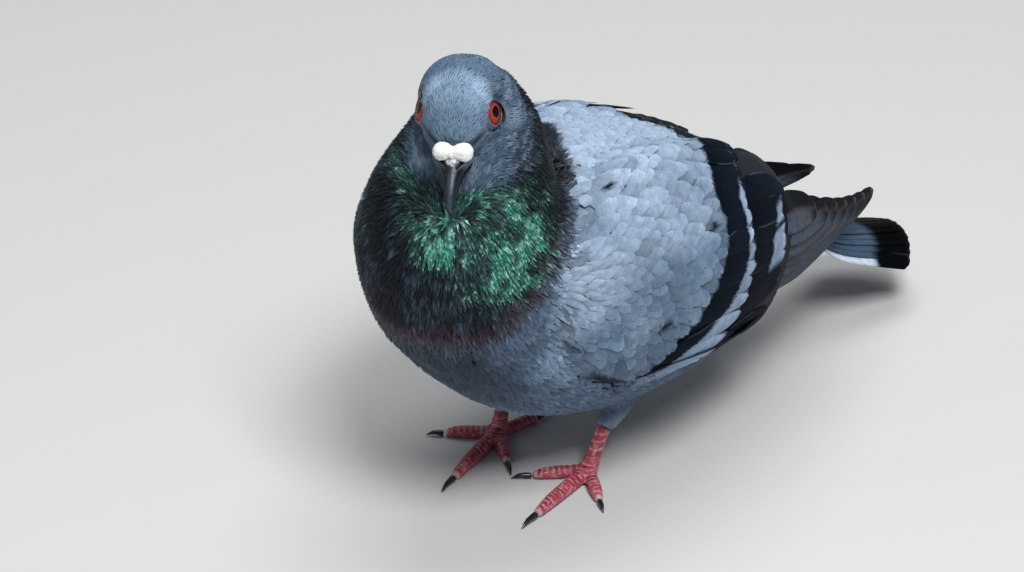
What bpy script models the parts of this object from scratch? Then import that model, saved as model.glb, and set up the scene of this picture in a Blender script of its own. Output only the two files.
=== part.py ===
"""A rock pigeon standing at rest, as a still life-size museum figure made of faceted solids.

The bird faces -Y, its left side is +X and the floor is Z = 0. The body is one loft of oval
sections along a curved axis, from the tail root to the nape, parted by thin cuts. The folded
wings are crescent shells that lie on that loft, and the head, bill, legs and claws are lofts
of their own. Sizes below are in millimetres unless a name says otherwise.
"""

import math

import bmesh
import bpy
from mathutils import Matrix, Vector

MM = 0.001
GAP = 0.3

# Body: one row for each section of the trunk and neck, from the tail root forwards.
# Each is the axis point (x, y, z), then the half width, the height to the back and the depth
# to the belly or breast.
BODY_SECTIONS = {
    "tail_root": ((2, 126, 36), 14, 7, 8),
    "rump": ((0, 98, 48), 26, 19, 23),
    "lower_back": ((0, 66, 60), 35, 33, 46),
    "belly": ((0, 30, 72), 41, 39, 56),
    "ribs": ((0, -6, 84), 41, 38, 56),
    "shoulder": ((2, -34, 98), 37.5, 32, 44),
    "crop": ((6, -43, 114), 31, 29, 34),
    "neck": ((10, -44, 132), 24, 22, 25),
    "nape": ((14, -46, 149), 17, 16, 15),
    "crown": ((16, -51, 158), 10, 9, 9),
    "neck_top": ((17, -53, 162), 4, 4, 4),
}
BODY_SIDES = 26
RINGS_PER_SECTION = 3
BODY_FULLNESS = 0.9  # under 1 makes the ovals fuller at their corners
NECK_CUT = 5.35  # where the neck meets the trunk, counted in sections from the tail root

# Folded wing: how far its shell runs along the body, counted in sections, and how it wraps.
WING_REAR, WING_FRONT = 1.7, 5.3
WING_TOP_DEG = (12, 30)  # angle from the middle of the back to the upper edge, rear and front
WING_EDGE_DEG = (122, 134)  # angle to the lower edge, rear and front
WING_BULGE = 8.5
WING_REAR_LIFT = 7.5
WING_THICKNESS, WING_REAR_THICKNESS = 5.0, 2.5
WING_EDGE_LIFT, WING_EDGE_THICKNESS = 1.2, 0.8
WING_CLOSE_FROM = 0.55  # from here to the front its two edges draw together
WING_CLOSE = 0.75  # how far they do
WING_RINGS = 16
WING_ARC_POINTS = 12

# Folded primaries: the blade past the wing's rear edge.
PRIMARY_TIP = (14, 158, 44)
PRIMARY_TIP_SHARE = 0.2  # breadth of the rounded tip over the breadth of the root
PRIMARY_RINGS = 8
PRIMARY_TOP_DEG = 40

# Tail.
TAIL_TIP = (4, 182, 20)
TAIL_ROOT_HALF_WIDTH = 15
TAIL_END_HALF_WIDTH = 23
TAIL_THICKNESS = (7.0, 2.0)
TAIL_ARCH = 9.0
TAIL_ROUNDING = 12
TAIL_RINGS = 6
RECTRICES = 12
RECTRIX_NOTCH = 1.2  # depth of the step between the ends of neighbouring tail feathers

# Head, in its own axes: forwards along the bill, left and up, from the point between the eyes.
HEAD_CENTRE = (15, -57, 152)
HEAD_YAW_DEG = 36
HEAD_PITCH_DEG = 34
# Distance forwards, half width, height to the crown, depth to the throat, and rise of the axis.
HEAD_SECTIONS = (
    (-20, 1.0, 1.0, 1.0, -1.0),
    (-18, 7.5, 7.0, 7.0, -1.0),
    (-12, 12.0, 11.3, 11.5, -0.5),
    (-4, 13.1, 13.0, 12.5, 0.0),
    (2, 12.6, 12.5, 11.5, 0.0),
    (7, 10.2, 10.0, 9.0, -0.5),
    (11, 7.0, 6.6, 6.0, -1.5),
    (13.5, 5.0, 4.6, 4.6, -2.0),
)
HEAD_SIDES = 20
HEAD_RINGS = 15

EYE_RADIUS = 5.2
EYE_OUT = 8.3
EYE_FORWARD, EYE_UP = 0.5, 0.6

# Bill, in the head's axes: forward, half width, half height and height of the middle.
BILL_UPPER = (
    (11.0, 4.6, 2.4, 0.6),
    (15.5, 4.6, 2.6, 0.0),
    (19.0, 3.1, 2.3, -0.6),
    (23.0, 2.3, 1.9, -1.4),
    (27.0, 1.9, 1.6, -2.4),
    (29.5, 1.2, 1.1, -3.6),
    (30.6, 0.4, 0.5, -4.6),
)
BILL_LOWER = (
    (11.0, 4.2, 1.2, -3.6),
    (15.5, 3.9, 1.3, -4.2),
    (19.0, 2.7, 1.2, -4.6),
    (23.0, 2.0, 1.0, -5.0),
    (26.5, 1.4, 0.8, -5.6),
    (28.6, 0.5, 0.4, -6.0),
)
BILL_SIDES = 12
# Cere: the middle of its two lobes, then half the width of both, half the length and the height.
CERE_FORWARD, CERE_UP = 14.3, 2.4
CERE_HALF_WIDTH, CERE_HALF_LENGTH, CERE_HEIGHT = 6.1, 3.3, 2.7
CERE_RINGS = 15
CERE_CLEAR = 0.45
CERE_JOIN = 0.7  # how much the lobes run into each other

# Legs. Each foot: the middle of its sole, then the directions of the inner, middle and outer
# toes in degrees from -Y towards +X.
FEET = {
    "left": ((16.5, 2.5), (-43, 9, 53)),
    "right": ((-22, 1), (52, 15, -51)),
}
HIND_TURN_IN_DEG = 22
HEEL_BACK, HEEL_OUT, HEEL_HEIGHT = 14, 2, 25
CUFF_HEIGHT = 15
KNEE_FORWARD, KNEE_OUT, KNEE_HEIGHT = 14, -4, 40
SHANK_RADII = (3.2, 2.4, 2.6)  # at the pad, half way and at the cuff
PAD_DROP = 0.8
CUFF_RADII = (3.6, 6.5, 9)
SOLE_HEIGHT = 3.0
SOLE_PRESS = 0.86  # height of a toe's middle over its radius, so that it rests on a flat
TOE_TAPER = (1.0, 0.97, 0.88, 0.58)
CLAW_TAPER = (0.52, 0.38, 0.1)
CLAW_TIP_HEIGHT = 0.3
STUB = 8.0  # how far from the middle of the foot each toe parts from it
# Each toe's length without the claw, claw length and radius at the root.
TOES = {
    "inner": (18.0, 7.0, 2.3),
    "middle": (31.0, 8.5, 2.6),
    "outer": (17.5, 6.0, 2.3),
    "hind": (17.0, 7.0, 2.2),
}
TOE_SIDES = 8
CLAW_SIDES = 6
SHANK_SIDES = 10

COLOURS = {
    "slate": (0.16, 0.19, 0.23),
    "neck_green": (0.05, 0.12, 0.10),
    "wing_grey": (0.36, 0.42, 0.50),
    "flight_dark": (0.05, 0.05, 0.06),
    "tail_grey": (0.10, 0.12, 0.15),
    "bill_black": (0.03, 0.03, 0.035),
    "cere_white": (0.85, 0.85, 0.83),
    "eye_red": (0.55, 0.09, 0.03),
    "leg_red": (0.52, 0.07, 0.09),
    "claw_black": (0.02, 0.02, 0.02),
}
ROUGHNESS = {"bill_black": 0.35, "eye_red": 0.08, "claw_black": 0.3, "leg_red": 0.5}
DEFAULT_ROUGHNESS = 0.7


def clear_scene():
    for obj in list(bpy.data.objects):
        bpy.data.objects.remove(obj)


def material(name):
    """The Principled material of that colour name, made once."""
    found = bpy.data.materials.get(name)
    if found:
        return found
    made = bpy.data.materials.new(name)
    made.use_nodes = True
    shader = made.node_tree.nodes["Principled BSDF"]
    shader.inputs["Base Color"].default_value = (*COLOURS[name], 1.0)
    shader.inputs["Roughness"].default_value = ROUGHNESS.get(name, DEFAULT_ROUGHNESS)
    shader.inputs["Metallic"].default_value = 0.0
    return made


def smooth(values, t):
    """Catmull-Rom value at t, counted in list steps, of numbers or vectors."""
    last = len(values) - 1
    t = min(max(t, 0.0), float(last))
    i = min(int(t), last - 1)
    u = t - i
    b, c = values[i], values[i + 1]
    a = values[i - 1] if i > 0 else b * 2 - c
    d = values[i + 2] if i + 2 <= last else c * 2 - b
    return (
        b
        + (c - a) * (0.5 * u)
        + (a * 2 - b * 5 + c * 4 - d) * (0.5 * u * u)
        + (b * 3 - a - c * 3 + d) * (0.5 * u * u * u)
    )


def mix(a, b, t):
    return a + (b - a) * t


def steps(first, last, count):
    return [mix(first, last, i / (count - 1)) for i in range(count)]


def fuller(value, power):
    """A sine or cosine pushed outwards, so that the oval it draws fills its corners."""
    return math.copysign(abs(value) ** power, value)


def oval_ring(centre, left, up, half_width, height, depth, sides, power=1.0, turn=0.0):
    """Points round an oval whose height above its middle differs from its depth below.

    turn is counted in sides: at 0.5 a side, not a corner, lies at the top and bottom."""
    points = []
    for i in range(sides):
        angle = 2 * math.pi * (i + turn) / sides
        rise = height if math.cos(angle) > 0 else depth
        across = left * (half_width * fuller(math.sin(angle), power))
        points.append(centre + across + up * (rise * fuller(math.cos(angle), power)))
    return points


def solid_from_rings(name, rings, colour):
    """A closed solid through the rings in order, with flat ends."""
    bm = bmesh.new()
    loops = []
    for ring in rings:
        verts = [bm.verts.new(point * MM) for point in ring]
        pairs = zip(verts, verts[1:] + verts[:1])
        loops.append([bm.edges.new(pair) for pair in pairs])
    for near, far in zip(loops, loops[1:]):
        bmesh.ops.bridge_loops(bm, edges=near + far)
    for end in (loops[0], loops[-1]):
        bmesh.ops.edgeloop_fill(bm, edges=end)
    bmesh.ops.recalc_face_normals(bm, faces=bm.faces)
    mesh = bpy.data.meshes.new(name)
    bm.to_mesh(mesh)
    bm.free()
    obj = bpy.data.objects.new(name, mesh)
    bpy.context.scene.collection.objects.link(obj)
    obj.data.materials.append(material(colour))
    mesh.shade_smooth()
    mesh.set_sharp_from_angle(angle=math.radians(50))
    return obj


def helper(obj):
    """Keeps a cutter or a joined piece out of the part."""
    obj.hide_render = True
    obj.display_type = "WIRE"
    return obj


def boolean(obj, operation, other):
    step = obj.modifiers.new(f"{operation.lower()}_{other.name}", "BOOLEAN")
    step.operation = operation
    step.object = helper(other)
    step.solver = "EXACT"
    return obj


def tube_rings(path, radii, count, sides):
    """Round rings square to a smooth path through the points, with radii in step."""
    rings = []
    side = None
    for t in steps(0, len(path) - 1, count):
        centre = smooth(path, t)
        ahead = (smooth(path, t + 0.05) - smooth(path, t - 0.05)).normalized()
        reference = side or Vector((1, 0, 0))
        side = (reference - ahead * reference.dot(ahead)).normalized()
        above = ahead.cross(side)
        radius = smooth(radii, t)
        rings.append(oval_ring(centre, side, above, *[radius] * 3, sides, turn=0.5))
    return rings


class Body:
    """The oval loft of the trunk and neck, read at any section by t."""

    def __init__(self):
        rows = list(BODY_SECTIONS.values())
        self.centres = [Vector(row[0]) for row in rows]
        self.widths = [row[1] for row in rows]
        self.backs = [row[2] for row in rows]
        self.bellies = [row[3] for row in rows]
        self.last = len(rows) - 1

    def ahead(self, t):
        """The way the body's axis runs at t, towards the head."""
        return (smooth(self.centres, t + 0.3) - smooth(self.centres, t - 0.3)).normalized()

    def frame(self, t):
        """Centre, left and up of the section at t."""
        ahead = self.ahead(t)
        left = ahead.cross(Vector((0, 0, 1))).normalized()
        if abs(ahead.z) > 0.9:
            left = (Vector((1, 0, 0)) - ahead * ahead.x).normalized()
        left = left if left.x > 0 else -left
        up = left.cross(ahead)
        up = up if up.dot(Vector((0, 0.5, 1))) > 0 else -up
        return smooth(self.centres, t), left, up

    def radii(self, t):
        return smooth(self.widths, t), smooth(self.backs, t), smooth(self.bellies, t)

    def ring(self, t):
        centre, left, up = self.frame(t)
        return oval_ring(centre, left, up, *self.radii(t), BODY_SIDES, BODY_FULLNESS)

    def point(self, t, degrees, side, extra):
        """A point at that angle from the middle of the back, lifted off the loft by extra."""
        centre, left, up = self.frame(t)
        width, back, belly = self.radii(t)
        angle = math.radians(degrees)
        rise = (back if degrees < 90 else belly) + extra
        sideways = left * (side * (width + extra) * fuller(math.sin(angle), BODY_FULLNESS))
        return centre + sideways + up * (rise * fuller(math.cos(angle), BODY_FULLNESS))

    def grown(self, name):
        """A cutter a little bigger all round than the trunk."""
        rings = []
        for t in steps(0, NECK_CUT, round(NECK_CUT * RINGS_PER_SECTION) + 1):
            centre, left, up = self.frame(t)
            sizes = [size + GAP for size in self.radii(t)]
            rings.append(oval_ring(centre, left, up, *sizes, BODY_SIDES, BODY_FULLNESS))
        return helper(solid_from_rings(name, rings, "slate"))

    def solid(self, name, start, end, colour, gap=0.0):
        """The length of the body from start to end, with a gap left before it."""
        count = round((end - start) * RINGS_PER_SECTION) + 1
        rings = [self.ring(t) for t in steps(start, end, count)]
        rings[0] = [point + self.ahead(start) * gap for point in rings[0]]
        return solid_from_rings(name, rings, colour)


def wing_lift(share):
    """How far the wing's outside stands off the body, from its rear (0) to its front (1)."""
    front = math.sin(math.pi * min(1.0, (1 - share) / 0.42) / 2)
    return mix(2.0, mix(WING_REAR_LIFT, WING_BULGE, min(1.0, share / 0.5)), front)


def wing_ring(body, t, side, top, edge, lift, thickness):
    """A crescent: along the outside from the top to the lower edge, and back inside."""
    outside, inside = [], []
    for i in range(WING_ARC_POINTS):
        u = i / (WING_ARC_POINTS - 1)
        angle = mix(top, edge, u)
        swell = math.sin(math.pi * u) ** 0.5
        outer = mix(WING_EDGE_LIFT, lift, swell)
        inner = max(GAP, outer - mix(WING_EDGE_THICKNESS, thickness, swell))
        outside.append(body.point(t, angle, side, outer))
        inside.append(body.point(t, angle, side, inner))
    return outside + inside[::-1]


def build_wing(body, name, side):
    rings = []
    for share in steps(0.0, 1.0, WING_RINGS):
        t = mix(WING_REAR, WING_FRONT, share)
        top = mix(*WING_TOP_DEG, share)
        close = max(0.0, (share - WING_CLOSE_FROM) / (1 - WING_CLOSE_FROM)) ** 1.6
        edge = mix(*WING_EDGE_DEG, share)
        middle = (top + edge) / 2
        top = mix(top, middle, WING_CLOSE * close)
        edge = mix(edge, middle, WING_CLOSE * close)
        lift = wing_lift(share)
        thickness = mix(WING_REAR_THICKNESS, WING_THICKNESS, min(1.0, share / 0.3))
        rings.append(wing_ring(body, t, side, top, edge, lift, thickness))
    return solid_from_rings(f"wing_{name}", rings, "wing_grey")


def build_primaries(body, name, side):
    """The folded flight feathers past the wing's rear edge, narrowing to the wing tip."""
    tip = Vector(PRIMARY_TIP)
    tip.x *= side
    rings = []
    angles = (PRIMARY_TOP_DEG, WING_EDGE_DEG[0])
    root = wing_ring(body, WING_REAR, side, *angles, WING_REAR_LIFT, WING_REAR_THICKNESS)
    root = [point - body.ahead(WING_REAR) * GAP for point in root]
    middle = sum(root, Vector()) / len(root)
    for share in steps(0.0, 1.0, PRIMARY_RINGS):
        narrow = mix(1.0, PRIMARY_TIP_SHARE, share**1.2)
        rings.append([mix(middle, tip, share) + (point - middle) * narrow for point in root])
    rings.append([mix(tip, point, 0.5) + (tip - middle) * 0.02 for point in rings[-1]])
    return solid_from_rings(f"primaries_{name}", rings, "flight_dark")


def build_tail(body):
    """The closed tail: a fan of feathers pressed together, arched like a low roof."""
    root, left, up = body.frame(0)
    away = (root - body.frame(0.2)[0]).normalized()
    start = root + away * GAP * 2
    tip = Vector(TAIL_TIP)
    along = (tip - start).normalized()
    end_left = (left - along * left.dot(along)).normalized()
    end_up = end_left.cross(along)
    end_up = end_up if end_up.z > 0 else -end_up
    rings = []
    for share in steps(0.0, 1.0, TAIL_RINGS):
        half_width = mix(TAIL_ROOT_HALF_WIDTH, TAIL_END_HALF_WIDTH, share)
        half_thickness = mix(up, end_up, share) * (mix(*TAIL_THICKNESS, share) / 2)
        upper, lower = [], []
        for i in range(2 * RECTRICES + 1):
            across = i / RECTRICES - 1
            notch = RECTRIX_NOTCH * ((i + 1) % 2) * share**4
            short = TAIL_ROUNDING * across**2 * share + notch
            drop = TAIL_ARCH * mix(0.5, 1.0, share) * across**2
            point = mix(start, tip, share) + mix(left, end_left, share) * (half_width * across)
            point = point - along * short - mix(up, end_up, share) * drop
            upper.append(point + half_thickness)
            lower.append(point - half_thickness)
        rings.append(upper + lower[::-1])
    return solid_from_rings("tail", rings, "tail_grey")


class Head:
    """The head's own axes and its loft, from the back of the head to the root of the bill."""

    def __init__(self):
        yaw, pitch = math.radians(HEAD_YAW_DEG), math.radians(HEAD_PITCH_DEG)
        level = Vector((math.sin(yaw), -math.cos(yaw), 0))
        self.left = Vector((math.cos(yaw), math.sin(yaw), 0))
        self.forward = level * math.cos(pitch) - Vector((0, 0, math.sin(pitch)))
        self.up = level * math.sin(pitch) + Vector((0, 0, math.cos(pitch)))
        self.centre = Vector(HEAD_CENTRE)

    def point(self, forward, left, up):
        return self.centre + self.forward * forward + self.left * left + self.up * up

    def rings(self, grow):
        """The head's oval rings, grown by a margin for use as a cutter."""
        columns = list(zip(*HEAD_SECTIONS))
        rings = []
        for t in steps(0, len(HEAD_SECTIONS) - 1, HEAD_RINGS):
            forward, width, crown, throat, rise = (smooth(column, t) for column in columns)
            centre = self.point(forward, 0, rise)
            sizes = (width + grow, crown + grow, throat + grow)
            rings.append(oval_ring(centre, self.left, self.up, *sizes, HEAD_SIDES))
        return rings

    def oval(self, name, middle, sizes, colour, segments=14, rows=8):
        """An egg-shaped solid at middle, in the head's axes."""
        bm = bmesh.new()
        bmesh.ops.create_uvsphere(bm, u_segments=segments, v_segments=rows, radius=1.0)
        axes = Matrix((self.forward, self.left, self.up)).transposed()
        turn = axes @ Matrix.Diagonal(Vector(sizes))
        place = Matrix.Translation(self.point(*middle) * MM) @ (turn * MM).to_4x4()
        bmesh.ops.transform(bm, matrix=place, verts=bm.verts)
        bmesh.ops.recalc_face_normals(bm, faces=bm.faces)
        mesh = bpy.data.meshes.new(name)
        bm.to_mesh(mesh)
        bm.free()
        obj = bpy.data.objects.new(name, mesh)
        bpy.context.scene.collection.objects.link(obj)
        obj.data.materials.append(material(colour))
        mesh.shade_smooth()
        return obj


def build_head(head):
    """The head with its eyes in their sockets; returns the sockets' cutters."""
    skull = solid_from_rings("head", head.rings(0.0), "slate")
    sockets = []
    for name, side in (("left", 1), ("right", -1)):
        place = (EYE_FORWARD, side * EYE_OUT, EYE_UP)
        head.oval(f"eye_{name}", place, (EYE_RADIUS,) * 3, "eye_red")
        sockets.append(head.oval(f"socket_{name}", place, (EYE_RADIUS + GAP,) * 3, "slate"))
        boolean(skull, "DIFFERENCE", sockets[-1])
    return sockets


def bill_rings(head, sections, count):
    columns = list(zip(*sections))
    rings = []
    for t in steps(0, len(sections) - 1, count):
        forward, width, height, rise = (smooth(column, t) for column in columns)
        centre = head.point(forward, 0, rise)
        rings.append(oval_ring(centre, head.left, head.up, width, height, height, BILL_SIDES))
    return rings


def build_bill(head):
    """Both halves of the bill, and the two soft lobes of the cere over its root."""
    face = helper(solid_from_rings("face", head.rings(GAP), "slate"))
    upper = solid_from_rings("bill_upper", bill_rings(head, BILL_UPPER, 13), "bill_black")
    lower = solid_from_rings("bill_lower", bill_rings(head, BILL_LOWER, 10), "bill_black")
    boolean(upper, "DIFFERENCE", face)
    boolean(lower, "DIFFERENCE", face)
    boolean(build_cere(head), "DIFFERENCE", face)


def bill_top(forward, across):
    """Height of the upper bill's surface at that place, or far below beside the bill."""
    rows = zip(BILL_UPPER, BILL_UPPER[1:])
    near, far = next((pair for pair in rows if forward <= pair[1][0]), BILL_UPPER[-2:])
    share = min(max((forward - near[0]) / (far[0] - near[0]), 0.0), 1.0)
    width, height, rise = (mix(near[i], far[i], share) for i in (1, 2, 3))
    inside = 1 - (across / (width + CERE_CLEAR)) ** 2
    return rise + (height + CERE_CLEAR) * math.sqrt(inside) if inside > 0 else -10.0


def build_cere(head):
    """Two soft lobes side by side, resting on the root of the upper bill."""
    rings = []
    middle = CERE_HALF_WIDTH / 2
    for turn in steps(0, math.pi, CERE_RINGS):
        across = -CERE_HALF_WIDTH * math.cos(turn)
        reach = middle + (CERE_JOIN if abs(across) < middle else 0.1)
        lobe = math.sqrt(1 - ((abs(across) - middle) / reach) ** 2)
        ring = []
        for i in range(BILL_SIDES):
            angle = 2 * math.pi * i / BILL_SIDES
            forward = CERE_FORWARD + CERE_HALF_LENGTH * lobe * math.cos(angle)
            up = CERE_UP + CERE_HEIGHT * lobe * math.sin(angle)
            ring.append(head.point(forward, across, max(up, bill_top(forward, across))))
        rings.append(ring)
    return solid_from_rings("cere", rings, "cere_white")


def level(degrees):
    """The level direction at that angle from -Y towards +X."""
    angle = math.radians(degrees)
    return Vector((math.sin(angle), -math.cos(angle), 0))


def on_floor(rings):
    """The same rings with all that is under the floor pressed up to it, as a flat sole."""
    return [[Vector((p.x, p.y, max(p.z, 0.0))) for p in ring] for ring in rings]


def build_toe(name, centre, ahead, sizes):
    """One toe lying along the floor on a flat sole, and the curved claw at its end."""
    length, claw, radius = sizes
    sole = Vector((centre[0], centre[1], 0))
    radii = [radius * share for share in TOE_TAPER]
    path = []
    for share, thick in zip(steps(0, 1, len(radii)), radii):
        height = Vector((0, 0, thick * SOLE_PRESS))
        path.append(sole + ahead * mix(STUB + GAP, length, share) + height)
    rings = on_floor(tube_rings(path, radii, 7, TOE_SIDES))
    solid_from_rings(f"toe_{name}", rings, "leg_red")
    root = path[-1] + ahead * 2 * GAP
    bend = [root, root + ahead * claw * 0.55 + Vector((0, 0, 0.3))]
    bend.append(root + ahead * claw + Vector((0, 0, CLAW_TIP_HEIGHT - root.z)))
    radii = [radius * share for share in CLAW_TAPER]
    rings = on_floor(tube_rings(bend, radii, 5, CLAW_SIDES))
    solid_from_rings(f"claw_{name}", rings, "claw_black")


def build_leg(name, side, trunk_cut):
    centre, angles = FEET[name]
    directions = dict(zip(("inner", "middle", "outer"), angles))
    directions["hind"] = angles[1] + 180 + side * HIND_TURN_IN_DEG
    foot_middle = Vector((centre[0], centre[1], SOLE_HEIGHT))
    back = -level(angles[1])
    heel = foot_middle + back * HEEL_BACK + Vector((side * HEEL_OUT, 0, 0))
    heel.z = HEEL_HEIGHT
    up_shank = (heel - foot_middle) / (heel.z - foot_middle.z)
    cuff = foot_middle + up_shank * (CUFF_HEIGHT - foot_middle.z)
    path = [foot_middle - Vector((0, 0, PAD_DROP)), mix(foot_middle, cuff, 0.5), cuff]
    rings = on_floor(tube_rings(path, SHANK_RADII, 8, SHANK_SIDES))
    foot = solid_from_rings(f"foot_{name}", rings, "leg_red")
    for toe, sizes in TOES.items():
        ahead = level(directions[toe])
        radius = sizes[2]
        end = Vector((centre[0], centre[1], radius * SOLE_PRESS)) + ahead * STUB
        stub_path = [foot_middle, end - ahead * STUB * 0.4, end]
        stub = on_floor(tube_rings(stub_path, [radius] * 3, 4, TOE_SIDES))
        stub = solid_from_rings(f"stub_{toe}_{name}", stub, "leg_red")
        boolean(foot, "UNION", stub)
        build_toe(f"{toe}_{name}", centre, ahead, sizes)
    knee = heel - back * KNEE_FORWARD + Vector((side * KNEE_OUT, 0, 0))
    knee.z = KNEE_HEIGHT
    path = [cuff + up_shank.normalized() * GAP, heel, knee]
    rings = tube_rings(path, CUFF_RADII, 9, SHANK_SIDES)
    thigh = solid_from_rings(f"thigh_{name}", rings, "slate")
    boolean(thigh, "DIFFERENCE", trunk_cut)


def stand_on_origin():
    """Moves everything so that the middle of the bird's box stands on the origin."""
    objects = list(bpy.context.scene.objects)
    solids = [obj for obj in objects if not obj.hide_render]
    corners = [Vector(corner) for obj in solids for corner in obj.bound_box]
    low = Vector(min(corner[i] for corner in corners) for i in range(3))
    high = Vector(max(corner[i] for corner in corners) for i in range(3))
    for obj in objects:
        obj.location = (-(low.x + high.x) / 2, -(low.y + high.y) / 2, -low.z)


def main():
    clear_scene()
    body = Body()
    head = Head()
    sockets = build_head(head)
    body.solid("trunk", 0, NECK_CUT, "slate")
    neck = body.solid("neck", NECK_CUT, body.last, "neck_green", GAP)
    for cut in (solid_from_rings("head_cut", head.rings(GAP), "slate"), *sockets):
        boolean(neck, "DIFFERENCE", cut)
    for name, side in (("left", 1), ("right", -1)):
        build_wing(body, name, side)
        build_primaries(body, name, side)
    build_tail(body)
    build_bill(head)
    trunk_cut = body.grown("trunk_cut")
    for name, side in (("left", 1), ("right", -1)):
        build_leg(name, side, trunk_cut)
    stand_on_origin()


main()
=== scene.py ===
"""Dresses the standing rock pigeon: its skin, feathers, eyes, bill, feet, floor, light and camera.

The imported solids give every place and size. The bird faces -Y, its left side is +X and the floor
is Z = 0. Sizes are in millimetres unless a name says otherwise; meshes are written in metres.
A feather is a thin vane that is laid along the plumage's outer surface, its root under the vanes
before it. Where a feather stands decides its length, breadth, direction and colour.
"""

from __future__ import annotations

import logging
import math
from dataclasses import dataclass, field
from enum import Enum
from typing import Callable, Sequence

import bmesh
import bpy
import numpy as np
from mathutils import Matrix, Vector
from mathutils.bvhtree import BVHTree


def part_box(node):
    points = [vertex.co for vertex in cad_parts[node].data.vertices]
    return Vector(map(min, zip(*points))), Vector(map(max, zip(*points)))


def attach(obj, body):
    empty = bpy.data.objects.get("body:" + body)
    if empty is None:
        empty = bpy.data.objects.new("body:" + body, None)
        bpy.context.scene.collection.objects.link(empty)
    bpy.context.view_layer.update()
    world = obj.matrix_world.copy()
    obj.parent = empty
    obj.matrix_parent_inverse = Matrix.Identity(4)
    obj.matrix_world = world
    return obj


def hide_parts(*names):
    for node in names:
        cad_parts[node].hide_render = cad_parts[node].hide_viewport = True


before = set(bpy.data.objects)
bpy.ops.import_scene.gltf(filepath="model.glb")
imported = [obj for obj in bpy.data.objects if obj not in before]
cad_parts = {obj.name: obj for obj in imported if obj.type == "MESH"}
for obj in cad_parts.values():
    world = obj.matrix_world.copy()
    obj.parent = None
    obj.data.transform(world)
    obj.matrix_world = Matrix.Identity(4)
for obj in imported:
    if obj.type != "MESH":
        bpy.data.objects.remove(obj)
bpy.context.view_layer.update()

MM = 0.001
BODY = "root"
SIDES = {"left": 1, "right": -1}
NAMES = {1: "left", -1: "right"}
TOES = ("inner", "middle", "outer", "hind")
SEED = 7
OUTSIDE = 90.0
BAKE_MAP = "OFBake"
VANE_MAP = "Vane"
TINT = "Tint"
GLEAM = "Gleam"
BAKE_PATCH = 0.003
BARB_PATTERNS = 40

Array = np.ndarray
Pair = tuple[Array, Array]
Paint = Callable[..., Pair]
Random = np.random.Generator

log = logging.getLogger("pigeon")


# ---- numbers and vectors


def unit(vectors: Array) -> Array:
    """The vectors, each made one unit long."""
    return vectors / np.maximum(np.linalg.norm(vectors, axis=-1, keepdims=True), 1e-9)


def blend(low: float | Array, high: float | Array, value: Array) -> Array:
    """How far value has gone from low (0) to high (1), eased at both ends."""
    share = np.clip((value - low) / (high - low), 0.0, 1.0)
    return share * share * (3 - 2 * share)


def mix(a: Array, b: Array | Sequence[float], share: Array) -> Array:
    """Colours or vectors a turned into b by share, row by row."""
    return a + (np.asarray(b) - a) * np.asarray(share)[..., None]


def parted(points: Array) -> Array:
    """X, Y and Z of points, each by itself."""
    return np.moveaxis(points, -1, 0)


def between(ends: Sequence[float], share: float) -> float:
    """The value that far on from the first end to the second."""
    return ends[0] + (ends[1] - ends[0]) * share


def coated(tint: Sequence[float] | Array, *coats: tuple[Sequence[float] | Array, Array]) -> Array:
    """One colour, or one for each place, and over it each coat's colour by its share."""
    tint = np.asarray(tint)
    for colour, share in coats:
        tint = mix(tint, colour, share)
    return tint


def flattened(ways: Array, normals: Array) -> Array:
    """The ways turned level with the surface that has those normals."""
    return unit(ways - normals * (ways * normals).sum(-1, keepdims=True))


def evened(places: list[Array], facings: list[Array], rounds: int) -> Pair:
    """Smooths a line over a surface, all but its two ends.

    Args:
        places: points along the line.
        facings: the surface normals there.
        rounds: how often each is moved towards its neighbours.

    Returns:
        The places and the unit normals.
    """
    places, facings = np.array(places), np.array(facings)
    for _ in range(rounds):
        for rows in (places, facings):
            rows[1:-1] = (rows[:-2] + 2 * rows[1:-1] + rows[2:]) / 4
    return places, unit(facings)


def near(points: Array, place: Sequence[float], reach: float) -> Array:
    """One at the place, falling to nothing at about twice the reach."""
    gap = ((points - np.asarray(place)) ** 2).sum(-1)
    return np.exp(-gap / (reach * reach))


def noise(points: Array, size: float, seed: int = 0) -> Array:
    """Smooth noise in space.

    Args:
        points: places in millimetres.
        size: about how far its spots are across.
        seed: picks the pattern.

    Returns:
        A value from 0 to 1 for each place.
    """
    scaled = np.asarray(points, dtype=float) / size + 1000.0
    cell = np.floor(scaled).astype(np.int64)
    share = scaled - cell
    share = share * share * (3 - 2 * share)
    total = np.zeros(scaled.shape[:-1])
    for corner in range(8):
        step = np.array([corner & 1, corner >> 1 & 1, corner >> 2 & 1])
        at = cell + step
        code = at[..., 0] * 374761393 + at[..., 1] * 668265263 + at[..., 2] * 2147483647
        code = (code + seed * 1442695041) & 0xFFFFFFFF
        code = ((code ^ (code >> 13)) * 1274126177) & 0xFFFFFFFF
        value = ((code ^ (code >> 16)) & 0xFFFF) / 65535.0
        weight = np.prod(np.where(step == 1, share, 1 - share), axis=-1)
        total += value * weight
    return total


# ---- the bird's own axes


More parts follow.
